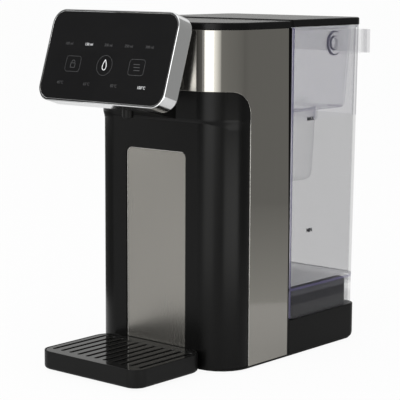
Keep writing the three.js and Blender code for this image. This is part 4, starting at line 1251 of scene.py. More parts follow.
@dataclass
class Head:
    """Tilted touch head: silver frame, black glass, marks, neck and spout; the steel doesn't mirror it."""

    centre: Vec = (0.0, -0.12605, 0.28045)
    tilt: float = math.radians(17.88)
    width: float = 0.1492
    height: float = 0.083
    thickness: float = 0.018
    corner: float = 0.014
    bezel: float = 0.0019
    ledge: float = 0.0024
    back_wall: float = 0.002
    glass: float = 0.0012
    board_thickness: float = 0.0016
    gap: float = 0.0003
    front_edge: float = 0.0008
    back_edge: float = 0.0022
    crease: float = 0.2245
    neck_foot: float = 0.0023
    neck_drop: float = 0.022
    neck_round: float = 0.004
    neck_side_round: float = 0.003
    neck_side_rise: float = 0.02
    neck_wall: float = 0.0022
    neck_front_wall: float = 0.012
    neck_back_wall: float = 0.004
    neck_room_top: float = 0.28
    mouth: float = 0.0053
    mouth_low: float = 0.2
    tip_points: tuple[Flat, ...] = (
        (0.0026, 0.001), (0.003, 0.0), (0.0043, 0.0), (0.0048, 0.0004), (0.005, 0.0015),
    )
    bore: float = 0.0026
    stem: float = 0.0034
    nozzle: float = 0.005
    collar: float = 0.008
    collar_thickness: float = 0.002
    stem_length: float = 0.01

    def matrix(self) -> Matrix:
        """From the head's own axes, face up, to its place."""
        return Matrix.Translation(self.centre) @ Matrix.Rotation(QUARTER - self.tilt, 4, "X")

    def slab(self, inset: float, low: float, high: float) -> Solid:
        """A slab of the head's outline.

        Args:
            inset: How far it lies in from the head's edge.
            low: Its lowest level.
            high: Its highest level.

        Returns:
            The slab.
        """
        across, up = self.width / 2 - inset, self.height / 2 - inset
        made = Solid.block((-across, -up, low), (across, up, high))
        return made.uprights(self.corner - inset, anywhere, steps=16)

    def frame(self) -> None:
        """The silver frame with its seats for the glass and the board."""
        shell = self.slab(0.0, -self.thickness, 0.0)
        shell.level(self.back_edge, -self.thickness, steps=5)
        shell.level(self.front_edge, 0.0)
        floor = -self.glass - self.gap
        seat = self.slab(self.bezel, floor, OVER)
        board = self.slab(self.bezel + self.ledge, floor - self.board_thickness - self.gap, OVER)
        hollow = self.slab(self.bezel + 2 * self.ledge, self.back_wall - self.thickness, OVER)
        shell.cut(seat, board, hollow)
        shell.move(self.matrix())
        role = housing("satin_silver", "control_frame")
        shell.piece("head_silver_frame", SILVER, role, CRISP).visible_glossy = False

    def pane(self) -> None:
        """The black glass."""
        pane = self.slab(self.bezel + self.gap / 2, -self.glass, -self.gap / 3)
        pane.move(self.matrix())
        role = housing("black_glass", "touch_glass")
        pane.piece("head_black_glass", GLASS, role, FINE).visible_glossy = False

    def board(self) -> None:
        """The circuit board behind the glass."""
        top = -self.glass - self.gap
        made = self.slab(self.bezel + self.ledge + self.gap, top - self.board_thickness, top)
        made.move(self.matrix())
        role = housing("circuit_board", "touch_board")
        made.piece("head_touch_board", BOARD, role, FINE).visible_glossy = False

    def marks(self) -> None:
        """Numbers, keys and signs on the glass."""
        Marks().build(self.matrix() @ Matrix.Translation((0, 0, -self.gap / 3)))

    def neck(self) -> None:
        """The black neck between the head and the column."""
        low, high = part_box("head_neck")
        made = Solid.block(low, high)
        back = self.matrix()
        depth = -self.thickness - self.gap
        low_point = back @ Vector((0, self.neck_foot - self.height / 2, depth))
        high_point = back @ Vector((0, self.height / 2 - self.neck_drop, depth))
        heel = self.crease + self.gap
        for vert in made.bm.verts:
            front = vert.co.y < (low.y + high.y) / 2
            under = vert.co.z < (low.z + high.z) / 2
            if front:
                vert.co.y = low_point.y if under else high_point.y
                vert.co.z = low_point.z if under else high_point.z
            else:
                vert.co.z = heel if under else high_point.z
        in_front = lambda at: at.y < high_point.y + NEAR and at.z < low_point.z + NEAR
        made.soften(self.neck_round, in_front, Axis.X, steps=6)
        at_side = lambda at: abs(at.x) > high.x - NEAR and at.z < heel + self.neck_side_rise
        made.soften(self.neck_side_round, at_side, Axis.Y, steps=5)
        across, along = axis_of("spout_nozzle")[:2]
        rise = self.neck_room_top - self.mouth_low
        mouth = Solid.rod(self.mouth, (across, along, self.mouth_low), rise, Axis.Z, sides=40)
        inner = Solid.block(
            (low.x + self.neck_wall, low.y + self.neck_front_wall, heel + self.neck_front_wall),
            (high.x - self.neck_wall, high.y - self.neck_back_wall, self.neck_room_top),
        )
        made.cut(inner, mouth)
        role = housing("black_plastic", "head_neck")
        made.piece("head_neck_cover", SATIN_BLACK, role, SOFT).visible_glossy = False

    def spout(self) -> None:
        """The spout's nozzle."""
        low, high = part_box("spout_nozzle")
        shoulder = high.z - self.stem_length
        ledge = shoulder + self.collar_thickness
        profile = [
            *((radius, low.z + rise) for radius, rise in self.tip_points),
            (self.nozzle, shoulder), (self.collar, shoulder), (self.collar, ledge), (self.stem, ledge),
            (self.stem, high.z), (self.bore, high.z),
        ]
        nozzle = Solid.turned(profile, axis_of("spout_nozzle"))
        role = housing("black_plastic", "spout_nozzle")
        nozzle.piece("spout_tip", SATIN_BLACK, role, CRISP).visible_glossy = False

    def build(self) -> None:
        """Builds the head's pieces."""
        self.frame()
        self.pane()
        self.board()
        self.marks()
        self.neck()
        self.spout()


@dataclass
class Marks:
    """Dim and lit print on the head's glass, with places across and up from its middle."""

    volumes: tuple[tuple[str, float], ...] = (
        ("100", -0.0482), ("150", -0.0243), ("200", -0.001), ("250", 0.0229), ("300", 0.0466),
    )
    degrees: tuple[tuple[str, float], ...] = (
        ("45", -0.0494), ("65", -0.0174), ("85", 0.0148), ("100", 0.0467),
    )
    lit_volume: str = "150"
    lit_degrees: str = "100"
    volume_row: float = 0.0102
    degree_row: float = -0.025
    volume_type: float = 0.0034
    degree_type: float = 0.0036
    thickness: float = 0.00012
    flat_share: float = 0.3
    line: float = 0.0003
    sign_line: float = 0.0005
    drop_line: float = 0.0007
    lock_key: float = -0.0385
    menu_key: float = 0.0367
    key_row: float = -0.0077
    key_half: Flat = (0.0088, 0.0069)
    key_corner: float = 0.0028
    ring: float = 0.0088
    ring_place: Flat = (-0.0007, -0.0076)
    drop: Flat = (0.0029, 0.0045)
    drop_place: Flat = (-0.0007, -0.0071)
    bar: float = 0.0035
    bar_row: float = -0.0078
    bar_pitch: float = 0.0026
    bar_shift: float = 0.0006
    shackle: float = 0.0018
    shackle_row: float = -0.0062
    lock_half: Flat = (0.0026, 0.002)
    lock_corner: float = 0.0005
    lock_row: float = -0.009

    def numbers(self) -> tuple[list[Solid], list[Solid]]:
        """The dim numbers and the lit ones.

        Returns:
            The two lists.
        """
        rows = (
            (self.volumes, " ml", self.volume_type, self.volume_row, self.lit_volume),
            (self.degrees, "°C", self.degree_type, self.degree_row, self.lit_degrees),
        )
        dim: list[Solid] = []
        lit: list[Solid] = []
        for row, unit, size, up, chosen in rows:
            for text, across in row:
                made = words(text + unit, size, self.thickness).place(across, up)
                (lit if text == chosen else dim).append(made)
        return dim, lit

    def keys(self) -> list[Solid]:
        """The outlines of the two square keys and of the round one.

        Returns:
            The outlines.
        """
        key = arc_box(*self.key_half, self.key_corner)
        ring = arc_points(self.ring, TURN / 48, 48)
        return [
            stroke(key, self.line).place(self.lock_key, self.key_row),
            stroke(key, self.line).place(self.menu_key, self.key_row),
            stroke(ring, self.line).place(*self.ring_place),
        ]

    def signs(self) -> list[Solid]:
        """The menu key's three bars, and the lock key's shackle and case.

        Returns:
            The signs.
        """
        made = []
        for step in (-1, 0, 1):
            bar = stroke([(-self.bar, 0.0), (self.bar, 0.0)], self.sign_line, False)
            across = self.menu_key + self.bar_shift * step
            made.append(bar.place(across, self.bar_row - self.bar_pitch * step))
        shackle = stroke(arc_points(self.shackle, math.pi / 8, 9), self.sign_line, False)
        made.append(shackle.place(self.lock_key, self.shackle_row))
        case = stroke(arc_box(*self.lock_half, self.lock_corner, 3), self.sign_line)
        made.append(case.place(self.lock_key, self.lock_row))
        return made

    def drop_sign(self) -> Solid:
        """The drop sign on the round key.

        Returns:
            The sign.
        """
        half_width, half_height = self.drop
        points = []
        for k in range(40):
            angle = TURN * k / 40
            taper = ((1 - math.sin(angle)) / 2) ** 0.5
            points.append((half_width * math.cos(angle) * taper, half_height * math.sin(angle)))
        return stroke(points, self.drop_line).place(*self.drop_place)

    def build(self, matrix: Matrix) -> None:
        """Builds the dim and the lit print.

        Args:
            matrix: From the glass's own axes to its place.
        """
        dim, lit = self.numbers()
        dim += [*self.keys(), *self.signs()]
        lit.append(self.drop_sign())
        for name, finish, parts in (("head_dim_marks", DIM, dim), ("head_lit_marks", BRIGHT, lit)):
            whole = Solid().with_loose(*parts)
            whole.move(matrix @ Matrix.Diagonal((1, 1, self.flat_share, 1)))
            whole.piece(name, finish, housing("white_plastic"), 0.0).visible_glossy = False


@dataclass
class Tank:
    """Clear tank with its raised floor, the stubs that its handle swings on, and its level marks."""

    wall: float = 0.0025
    front_corner: float = 0.005
    rear_corner: float = 0.012
    least_corner: float = 0.0015
    rear_taper: float = 0.0045
    side_taper: float = 0.0008
    taper_limit_share: float = 1.1
    floor_low: float = 0.062
    floor_high: float = 0.065
    floor_round: float = 0.004
    heel: float = 0.006
    rebate: float = 0.0012
    rebate_depth: float = 0.002
    half_width: float = 0.0817
    back: float = 0.1405
    stub_radius: float = 0.005
    valve: Flat = (0.0, 0.0625)
    valve_mouth: float = 0.0103
    marks: tuple[tuple[str, float, float], ...] = (("MAX", 0.0578, 0.2197), ("MIN", 0.059, 0.116))
    mark_type: float = 0.0048
    mark_depth: float = 0.0002
    mark_weight: float = 0.0002
    mark_lift: float = 0.0001

    def vessel(self, inset: float, low: float, high: float) -> Solid:
        """A tapered block of the tank's outline.

        Args:
            inset: How far it lies in from the tank's outside.
            low: Its lowest level.
            high: Its highest level.

        Returns:
            The block.
        """
        shell_low, shell_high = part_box("tank_shell")
        front, top, foot = shell_low.y, shell_high.z, shell_low.z
        half, back = self.half_width - inset, self.back - inset
        made = Solid.block((-half, front + inset, low), (half, back, high))
        middle = (front + self.back) / 2
        made.uprights(max(self.front_corner - inset, self.least_corner), lambda at: at.y < middle, steps=10)
        made.uprights(self.rear_corner - inset, lambda at: at.y > middle, steps=16)
        for height in (low, high):
            fall = min(max((top - height) / (top - foot), 0.0), self.taper_limit_share)
            at_level = lambda at, z=height: abs(at.z - z) < NEAR
            narrow = 1.0 - self.side_taper * fall / half
            shallow = 1.0 - self.rear_taper * fall / (self.back - front - 2 * inset)
            made.scale_where(at_level, (0, front + inset, 0), (narrow, shallow, 1))
        return made

    def shell(self) -> None:
        """The clear shell, with its stubs."""
        low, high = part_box("tank_shell")
        made = self.vessel(0.0, low.z, high.z)
        reach = REACH / 2
        turn_y, turn_z = low.y + self.heel, low.z + self.heel
        heel = Solid.block((-reach, low.y - OVER, low.z - OVER), (reach, turn_y, turn_z))
        heel.cut(Solid.rod(self.heel, (-reach - OVER, turn_y, turn_z), 2 * (reach + OVER), Axis.X, sides=96))
        made.cut(heel)
        root = self.half_width - self.wall / 2
        for start in (-high.x, root):
            made.add(Solid.rod(self.stub_radius, (start, *PIVOT), high.x - root, Axis.X, sides=48))
        room = self.vessel(self.wall, self.floor_high, high.z + OVER)
        room.level(self.floor_round, self.floor_high)
        under = self.vessel(self.wall, low.z - OVER, self.floor_low)
        rebate = self.vessel(self.rebate, high.z - self.rebate_depth, high.z + OVER)
        mouth = Solid.rod(self.valve_mouth, (*self.valve, 0.0), REACH / 2, Axis.Z, sides=48)
        made.cut(room, under, rebate, mouth)
        made.piece("tank_clear_shell", TANK, Role("tank", "clear_plastic", ("tank_shell",)), SOFT)

    def scale(self) -> None:
        """The two level marks on the right wall."""
        low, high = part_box("tank_shell")
        parts = []
        for text, along, height in self.marks:
            fall = (high.z - height) / (high.z - low.z)
            out = self.half_width - self.side_taper * fall + self.mark_lift
            turn = Matrix(((0, 0, 1, out), (1, 0, 0, along), (0, 1, 0, height), (0, 0, 0, 1)))
            parts.append(words(text, self.mark_type, self.mark_depth, self.mark_weight).move(turn))
        Solid().with_loose(*parts).piece("tank_level_marks", INK, Role("tank", "dark_plastic"), 0.0)

    def build(self) -> None:
        """Builds the tank's pieces."""
        self.shell()
        self.scale()


@dataclass
class Bail:
    """Strap handle round the back of the tank, with painted shade: dark crescents round its pivots."""

    thickness: float = 0.003
    corner: float = 0.010
    half_height: float = 0.011
    boss: float = 0.0118
    hole: float = 0.0053
    shade_thickness: float = 0.0008
    shade_sink: float = 0.0004
    shade_crescents: tuple[Vec, ...] = ((0.0114, 0.0103, 0.0019), (0.0068, 0.006, 0.0014))

    def strap(self) -> None:
        """The strap, with a boss round each pivot."""
        low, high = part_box("tank_handle")
        along, up = PIVOT
        bottom, top = up - self.half_height, up + self.half_height
        inner, back = high.x - self.thickness, high.y - self.thickness
        made = Solid.block((low.x, along, bottom), (high.x, high.y, top))
        made.uprights(self.corner, lambda at: at.y > high.y - NEAR, steps=16)
        space = Solid.block((-inner, along - OVER, bottom - OVER), (inner, back, top + OVER))
        made.cut(space.uprights(self.corner - self.thickness, lambda at: at.y > back - NEAR, steps=16))
        for start in (low.x, inner):
            made.add(Solid.rod(self.boss, (start, *PIVOT), self.thickness, Axis.X, sides=72))
        for start in (low.x - OVER, inner - OVER):
            made.cut(Solid.rod(self.hole, (start, *PIVOT), self.thickness + 2 * OVER, Axis.X, sides=48))
        role = Role("handle", "frosted_plastic", ("tank_handle",))
        made.piece("tank_bail_handle", HANDLE, role, WORN, 3)

    def boss_shade_crescents(self) -> None:
        """Painted shade: dark crescents at the edge of each boss and of its hole, from their radius, their
        hollow's radius and its shift.
        """
        low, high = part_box("tank_handle")
        along, up = PIVOT
        made = Solid()
        for outer, hollow, shift in self.shade_crescents:
            for start in (low.x + self.shade_sink, high.x - self.shade_sink - self.shade_thickness):
                # Each crescent is painted shade, held inside the clear strap.
                rim = Solid.rod(outer, (start, along, up), self.shade_thickness, Axis.X, sides=72)
                bore_start = (start - OVER, along + shift, up)
                rim.cut(Solid.rod(hollow, bore_start, self.shade_thickness + 2 * OVER, Axis.X, sides=72))
                made.with_loose(rim)
        made.piece("tank_handle_boss_shade", BOSS_SHADE, Role("handle", "frosted_plastic"), 0.0)

    def build(self) -> None:
        """Builds the handle's pieces."""
        self.strap()
        self.boss_shade_crescents()


@dataclass
class Funnel:
    """Funnel tray that hangs in the tank's rim, with a collar for the filter."""

    tank: Tank
    top: float = 0.3035
    bottom: float = 0.225
    thickness: float = 0.002
    side: float = 0.0752
    front: float = 0.0354
    back: float = 0.1345
    corner: float = 0.007
    outer_edge: float = 0.005
    inner_edge: float = 0.003
    side_taper: float = 0.0038
    end_taper: float = 0.003
    lean: float = 0.0011
    flange_gap: float = 0.0015
    flange_thickness: float = 0.0016
    collar: float = 0.0303
    collar_bore: float = 0.0283

    def bowl(self, inset: float, low: float, high: float, edge: float) -> Solid:
        """A tapered block of the bowl's outside or inside, which leans back a little.

        Args:
            inset: How far it lies in from the bowl's outside.
            low: Its lowest level.
            high: Its highest level.
            edge: The radius of its bottom edge.

        Returns:
            The block.
        """
        made = Solid.block(
            (-self.side + inset, self.front + inset, low), (self.side - inset, self.back - inset, high)
        )
        made.uprights(self.corner - inset, anywhere)
        made.level(edge, low, steps=8)
        depth = self.top - self.bottom - self.thickness
        drop = (self.top - low) / depth
        middle = (self.front + self.back) / 2
        side_fall = self.side_taper * drop / self.side
        end_fall = self.end_taper * drop / (self.back - middle)
        for vert in made.bm.verts:
            share = min(max((self.top - vert.co.z) / (self.top - low), 0.0), 1.0)
            vert.co.x *= 1 - side_fall * share
            vert.co.y = middle + (vert.co.y - middle) * (1 - end_fall * share)
        lean = Matrix.Identity(4)
        lean[1][2] = self.lean / depth
        lean[1][3] = -lean[1][2] * self.top
        return made.move(lean)

    def build(self) -> None:
        """Builds the tray."""
        low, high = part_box("funnel_tray")
        inside = self.bottom + self.thickness
        made = self.bowl(0.0, self.bottom, high.z, self.outer_edge)
        made.add(self.tank.vessel(self.flange_gap, high.z - self.flange_thickness, high.z))
        made.cut(self.bowl(self.thickness, inside, high.z + OVER, self.inner_edge))
        across, along = axis_of("filter_cartridge")[:2]
        made.add(Solid.rod(self.collar, (across, along, low.z), inside - low.z, Axis.Z, sides=72))
        bore_start = (across, along, low.z - OVER)
        made.cut(Solid.rod(self.collar_bore, bore_start, self.top - low.z, Axis.Z, sides=72))
        made.piece("funnel_clear_tray", FUNNEL, Role("funnel", "frosted_plastic", ("funnel_tray",)), SOFT)


@dataclass
class Cartridge:
    """Filter cartridge in the funnel's collar."""

    shelf: float = 0.2273
    foot: float = 0.0254
    heel: float = 0.007
    neck: float = 0.028
    neck_start: float = 0.215
    brim: float = 0.031
    brim_thickness: float = 0.0015
    crown: float = 0.025
    crown_rise: float = 0.0075
    knob: float = 0.008
    knob_edge: float = 0.001
    slots: int = 8
    slot_half_width: float = 0.0015
    slot_start: float = 0.0125
    slot_end: float = 0.0205
    slot_rise: float = 0.0035
    slot_depth: float = 0.008

    def body(self) -> Solid:
        """The turned body with its round heel.

        Returns:
            The body.
        """
        low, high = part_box("filter_cartridge")
        brim_top, crown_top = self.shelf + self.brim_thickness, self.shelf + self.crown_rise
        heel = []
        for k in range(9):
            angle = QUARTER * k / 8
            radius = self.foot - self.heel * (1 - math.sin(angle))
            heel.append((radius, low.z + self.heel * (1 - math.cos(angle))))
        profile = [
            (0.0, low.z), *heel, (self.neck, self.neck_start), (self.neck, self.shelf),
            (self.brim, self.shelf), (self.brim, brim_top), (self.neck, brim_top), (self.crown, crown_top),
            (self.knob, crown_top), (self.knob, high.z - self.knob_edge),
            (self.knob - self.knob_edge, high.z), (0.0, high.z),
        ]
        return Solid.turned(profile, axis_of("filter_cartridge"), Axis.Z, sides=96)

    def build(self) -> None:
        """Builds the cartridge with the slots of its crown."""
        slots = Solid()
        bottom = self.shelf + self.slot_rise
        for k in range(self.slots):
            slot = Solid.block(
                (self.slot_start, -self.slot_half_width, bottom),
                (self.slot_end, self.slot_half_width, bottom + self.slot_depth),
            )
            turn = Matrix.Rotation(TURN * k / self.slots, 4, "Z")
            slots.with_loose(slot.move(Matrix.Translation(axis_of("filter_cartridge")) @ turn))
        role = Role("funnel", "white_plastic", ("filter_cartridge",))
        self.body().cut(slots).piece("filter_cartridge_body", FILTER, role)


@dataclass
class Lid:
    """Glossy lid of the tank, with a clear lip inside the funnel."""

    rim: float = 0.0069
    rear_corner: float = 0.012
    front_corner: float = 0.003
    edge: float = 0.0015
    lip_half_width: float = 0.0726
    lip_front: float = 0.038
    lip_back: float = 0.1319
    lip_corner: float = 0.0064
    lip_wall: float = 0.002
    room_corner: float = 0.0045
    gap: float = 0.0001
    roof: float = 0.0022
    lip_drop: float = 0.0024

    def lip_block(self, inset: float, low: float, high: float, corner: float) -> Solid:
        """A block of the lip's outline.

        Args:
            inset: How far it lies in from the lip's outside.
            low: Its lowest level.
            high: Its highest level.
            corner: The radius of its uprights.

        Returns:
            The block.
        """
        half = self.lip_half_width - inset
        made = Solid.block((-half, self.lip_front + inset, low), (half, self.lip_back - inset, high))
        return made.uprights(corner, anywhere)

    def build(self) -> None:
        """Builds the lip and the lid."""
        low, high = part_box("tank_lid")
        shell = Solid.block((low.x, low.y, high.z - self.rim), high)
        shell.uprights(self.rear_corner, lambda at: at.y > high.y - NEAR, steps=16)
        shell.uprights(self.front_corner, lambda at: at.y < low.y + NEAR, steps=8)
        shell.level(self.edge, high.z)
        shell.cut(self.lip_block(-self.gap, low.z - OVER, high.z - self.roof, self.lip_corner + self.gap))
        lip = self.lip_block(0.0, low.z, high.z - self.lip_drop, self.lip_corner)
        lip.cut(self.lip_block(self.lip_wall, low.z - OVER, high.z, self.room_corner))
        lip.piece("tank_lid_lip", LIP, Role("lid", "frosted_plastic"), FINE)
        shell.piece("tank_top_lid", GLOSS_BLACK, Role("lid", "black_gloss", ("tank_lid",)))


@dataclass
class Dock:
    """Dock behind the column: housing with its pedestal, coupler well, vents and cord bush."""

    wall: float = 0.0022
    rear_corner: float = 0.012
    front_corner: float = 0.0015
    rear_edge: float = 0.0055
    edge_start: float = 0.002
    body_top: float = 0.0354
    body_edge: float = 0.0008
    body_edge_start: float = 0.01
    pedestal_side: float = 0.0757
    pedestal_front: float = 0.0349
    pedestal_back: float = 0.1319
    pedestal_corner: float = 0.010
    pedestal_edge: float = 0.002
    room_corner: float = 0.0078
    well: Flat = (0.0, 0.0625)
    well_radius: float = 0.015
    well_depth: float = 0.0166
    well_floor: float = 0.002
    well_sink: float = 0.0005
    drain: float = 0.0052
    drain_bore: float = 0.003
    drain_drop: float = 0.007
    drain_length: float = 0.006
    passage_half_width: float = 0.038
    passage_depth: float = 0.0067
    passage_top: float = 0.0325
    cord_across: float = 0.048
    cord_height: float = 0.020
    cord_hole: float = 0.0073
    rear_start: float = 0.12
    vents: int = 6
    vent_pitch: float = 0.007
    vent_across: float = -0.048
    vent_half_width: float = 0.0015
    vent_low: float = 0.0135
    vent_high: float = 0.0265
    vent_corner: float = 0.0012
    bush_bore: float = 0.0034
    bush_neck: float = 0.007
    bush_flange: float = 0.0084
    bush_lip: float = 0.0014
    bush_edge: float = 0.0006
    foot_points: tuple[Flat, ...] = (
        (0.0, 0.0), (0.0068, 0.0), (0.0076, 0.0003), (0.008, 0.0009), (0.008, 0.0017), (0.003, 0.0017),
    )
    foot_stem: float = 0.003

    def body(self, inset: float, low: float, high: float) -> Solid:
        """A block of the dock's outline, with the rounded rear bottom edge.

        Args:
            inset: How far it lies in from the dock's outside.
            low: Its lowest level.
            high: Its highest level.

        Returns:
            The block.
        """
        box_low, box_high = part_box("dock_housing")
        made = Solid.block(
            (box_low.x + inset, box_low.y + inset, low), (box_high.x - inset, box_high.y - inset, high)
        )
        middle = (box_low.y + box_high.y) / 2
        made.uprights(self.rear_corner - inset, lambda at: at.y > middle, steps=16)
        made.uprights(self.front_corner, lambda at: at.y < middle, steps=4)
        rounds = [self.edge_start + self.rear_edge * k / 8 for k in range(9)]
        made.slice(Axis.Z, *[height for height in rounds if low + NEAR < height < high - NEAR])
        for vert in made.bm.verts:
            if vert.co.y > middle:
                rise = min(max(vert.co.z - self.edge_start, 0.0), self.rear_edge)
                vert.co.y += math.sqrt(self.rear_edge**2 - (self.rear_edge - rise) ** 2) - self.rear_edge
        return made

    def pedestal(self, inset: float, low: float, high: float) -> Solid:
        """A block of the pedestal's outline, so far in from its side, without round corners."""
        side, back = self.pedestal_side - inset, self.pedestal_back - inset
        return Solid.block((-side, self.pedestal_front + inset, low), (side, back, high))

    def openings(self) -> Solid:
        """The passage for the hoses in front, the cord's hole and the vents.

        Returns:
            What is cut out, as one solid.
        """
        low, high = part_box("dock_housing")
        made = Solid.block(
            (-self.passage_half_width, low.y - OVER, low.z - OVER),
            (self.passage_half_width, low.y + self.passage_depth, self.passage_top),
        )
        start, end = self.rear_start, high.y + OVER
        hole_start = (self.cord_across, start, self.cord_height)
        made.with_loose(Solid.rod(self.cord_hole, hole_start, end - start, Axis.Y, sides=40))
        for k in range(self.vents):
            middle = self.vent_across + (k - (self.vents - 1) / 2) * self.vent_pitch
            slot = Solid.block(
                (middle - self.vent_half_width, start, self.vent_low),
                (middle + self.vent_half_width, end, self.vent_high),
            )
            made.with_loose(slot.soften(self.vent_corner, anywhere, Axis.Y, steps=4))
        return made

    def shell(self) -> None:
        """The housing with its pedestal and the coupler's well."""
        low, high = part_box("dock_housing")
        made = self.body(0.0, low.z, self.body_top)
        at_edge = lambda at: abs(at.z - self.body_top) < NEAR and at.y > low.y + self.body_edge_start
        made.soften(self.body_edge, at_edge, steps=3)
        pedestal = self.pedestal(0.0, self.body_top - self.wall, high.z)
        pedestal.uprights(self.pedestal_corner, anywhere).level(self.pedestal_edge, high.z)
        made.add(pedestal)
        made.cut(self.body(self.wall, low.z - OVER, self.body_top - self.wall))
        room = self.pedestal(self.wall, low.z, high.z - self.wall)
        made.cut(room.uprights(self.room_corner, anywhere, steps=8))
        floor = high.z - self.well_depth
        bottom = floor - self.well_floor
        rise = high.z - self.well_sink - bottom
        made.add(Solid.rod(self.well_radius + self.wall, (*self.well, bottom), rise, Axis.Z))
        drain_start = (*self.well, floor - self.drain_drop)
        made.add(Solid.rod(self.drain, drain_start, self.drain_length, Axis.Z, sides=32))
        made.cut(
            Solid.rod(self.well_radius, (*self.well, floor), REACH / 4, Axis.Z),
            Solid.rod(self.drain_bore, (*self.well, 0.0), REACH / 2, Axis.Z, sides=32),
            self.openings(),
        )
        made.piece("dock_base_housing", DOCK_BLACK, housing("black_plastic", "dock_housing"), SOFT)

    def bush(self) -> None:
        """The rubber bush at the cord's inlet."""
        low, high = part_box("cord_gland")
        middle = ((low.x + high.x) / 2, 0.0, (low.z + high.z) / 2)
        front, back = low.y + self.bush_lip, high.y - self.bush_lip
        profile = [
            (self.bush_bore, low.y), (self.bush_flange, low.y), (self.bush_flange, front),
            (self.bush_neck, front), (self.bush_neck, back), (self.bush_flange, back),
            (self.bush_flange, high.y - self.bush_edge), (self.bush_flange - self.bush_edge, high.y),
            (self.bush_bore, high.y),
        ]
        made = Solid.turned(profile, middle, Axis.Y)
        made.piece("cord_inlet_bush", RUBBER, housing("rubber", "cord_gland"), FINE)

    def feet(self) -> None:
        """The four rubber feet."""
        for name in ("foot_front_left", "foot_front_right", "foot_rear_left", "foot_rear_right"):
            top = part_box(name)[1].z
            profile = [*self.foot_points, (self.foot_stem, top), (0.0, top)]
            Solid.turned(profile, axis_of(name)).piece(f"rubber_{name}", RUBBER, housing("rubber", name), 0.0)

    def build(self) -> None:
        """Builds the dock's pieces."""
        self.shell()
        self.bush()
        self.feet()


@dataclass
class DripTray:
    """Pull-out tray with its slotted grille and its pads."""

    front_corner: float = 0.013
    rear_corner: float = 0.017
    least_corner: float = 0.0015
    bottom_edge: float = 0.003
    top_edge: float = 0.0004
    floor_edge: float = 0.0015
    rim: float = 0.001
    seat: float = 0.0026
    gap: float = 0.0003
    floor: float = 0.002
    tongue_across: float = 0.03
    tongue_half_width: float = 0.007
    tongue_root: float = 0.0019
    tongue_low: float = 0.0074
    tongue_high: float = 0.0104
    slots: int = 11
    pitch: float = 0.0103
    slot: float = 0.0036
    slot_round_share: float = 0.49
    margin: float = 0.008
    back: float = -0.0631
    pad_points: tuple[Flat, ...] = (
        (0.0, 0.0), (0.0052, 0.0), (0.006, 0.0006), (0.006, 0.0023), (0.002, 0.0023),
    )
    pad_stem: float = 0.002

    def outline(self, inset: float, low: float, high: float) -> Solid:
        """A block of the tray's outline.

        Args:
            inset: How far it lies in from the tray's edge.
            low: Its lowest level.
            high: Its highest level.

        Returns:
            The block.
        """
        box_low, box_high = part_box("drip_tray")
        made = Solid.block(
            (box_low.x + inset, box_low.y + inset, low), (box_high.x - inset, self.back - inset, high)
        )
        middle = (box_low.y + self.back) / 2
        made.uprights(max(self.front_corner - inset, self.least_corner), lambda at: at.y < middle)
        made.uprights(max(self.rear_corner - inset, self.least_corner), lambda at: at.y > middle, steps=6)
        return made

    def tray(self) -> None:
        """The tray with its two tongues."""
        low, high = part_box("drip_tray")
        made = self.outline(0.0, low.z, high.z)
        made.level(self.bottom_edge, low.z, steps=5)
        made.level(self.top_edge, high.z, steps=3)
        made.cut(self.outline(self.rim, high.z - self.seat, high.z + OVER))
        hollow = self.outline(self.rim + self.seat / 2, low.z + self.floor, high.z + OVER)
        made.cut(hollow.level(self.floor_edge, low.z + self.floor, steps=3))
        for side in SIDES:
            middle = side * self.tongue_across
            start = (middle - self.tongue_half_width, self.back - self.tongue_root, self.tongue_low)
            made.add(Solid.block(start, (middle + self.tongue_half_width, high.y, self.tongue_high)))
        made.piece("drip_tray_body", SATIN_BLACK, Role("tray", "black_plastic", ("drip_tray",)))

    def grille(self) -> None:
        """The grille with its slots."""
        low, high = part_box("drip_grille")
        made = self.outline(self.rim + self.gap, low.z, high.z)
        slots = Solid()
        for k in range(self.slots):
            middle = (k - (self.slots - 1) / 2) * self.pitch
            slot = Solid.block(
                (middle - self.slot / 2, low.y + self.margin, low.z - OVER),
                (middle + self.slot / 2, high.y - self.margin, high.z + OVER),
            )
            slots.with_loose(slot.uprights(self.slot * self.slot_round_share, anywhere, steps=6))
        made.cut(slots)
        made.piece("drip_grille_plate", GRILLE_BLACK, Role("grille", "black_plastic", ("drip_grille",)), SOFT)

    def pads(self) -> None:
        """The tray's two rubber pads."""
        for name in ("tray_pad_left", "tray_pad_right"):
            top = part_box(name)[1].z
            profile = [*self.pad_points, (self.pad_stem, top), (0.0, top)]
            role = Role("tray", "rubber", (name,))
            Solid.turned(profile, axis_of(name)).piece(f"rubber_{name}", RUBBER, role, 0.0)

    def build(self) -> None:
        """Builds the tray's pieces."""
        self.tray()
        self.grille()
        self.pads()


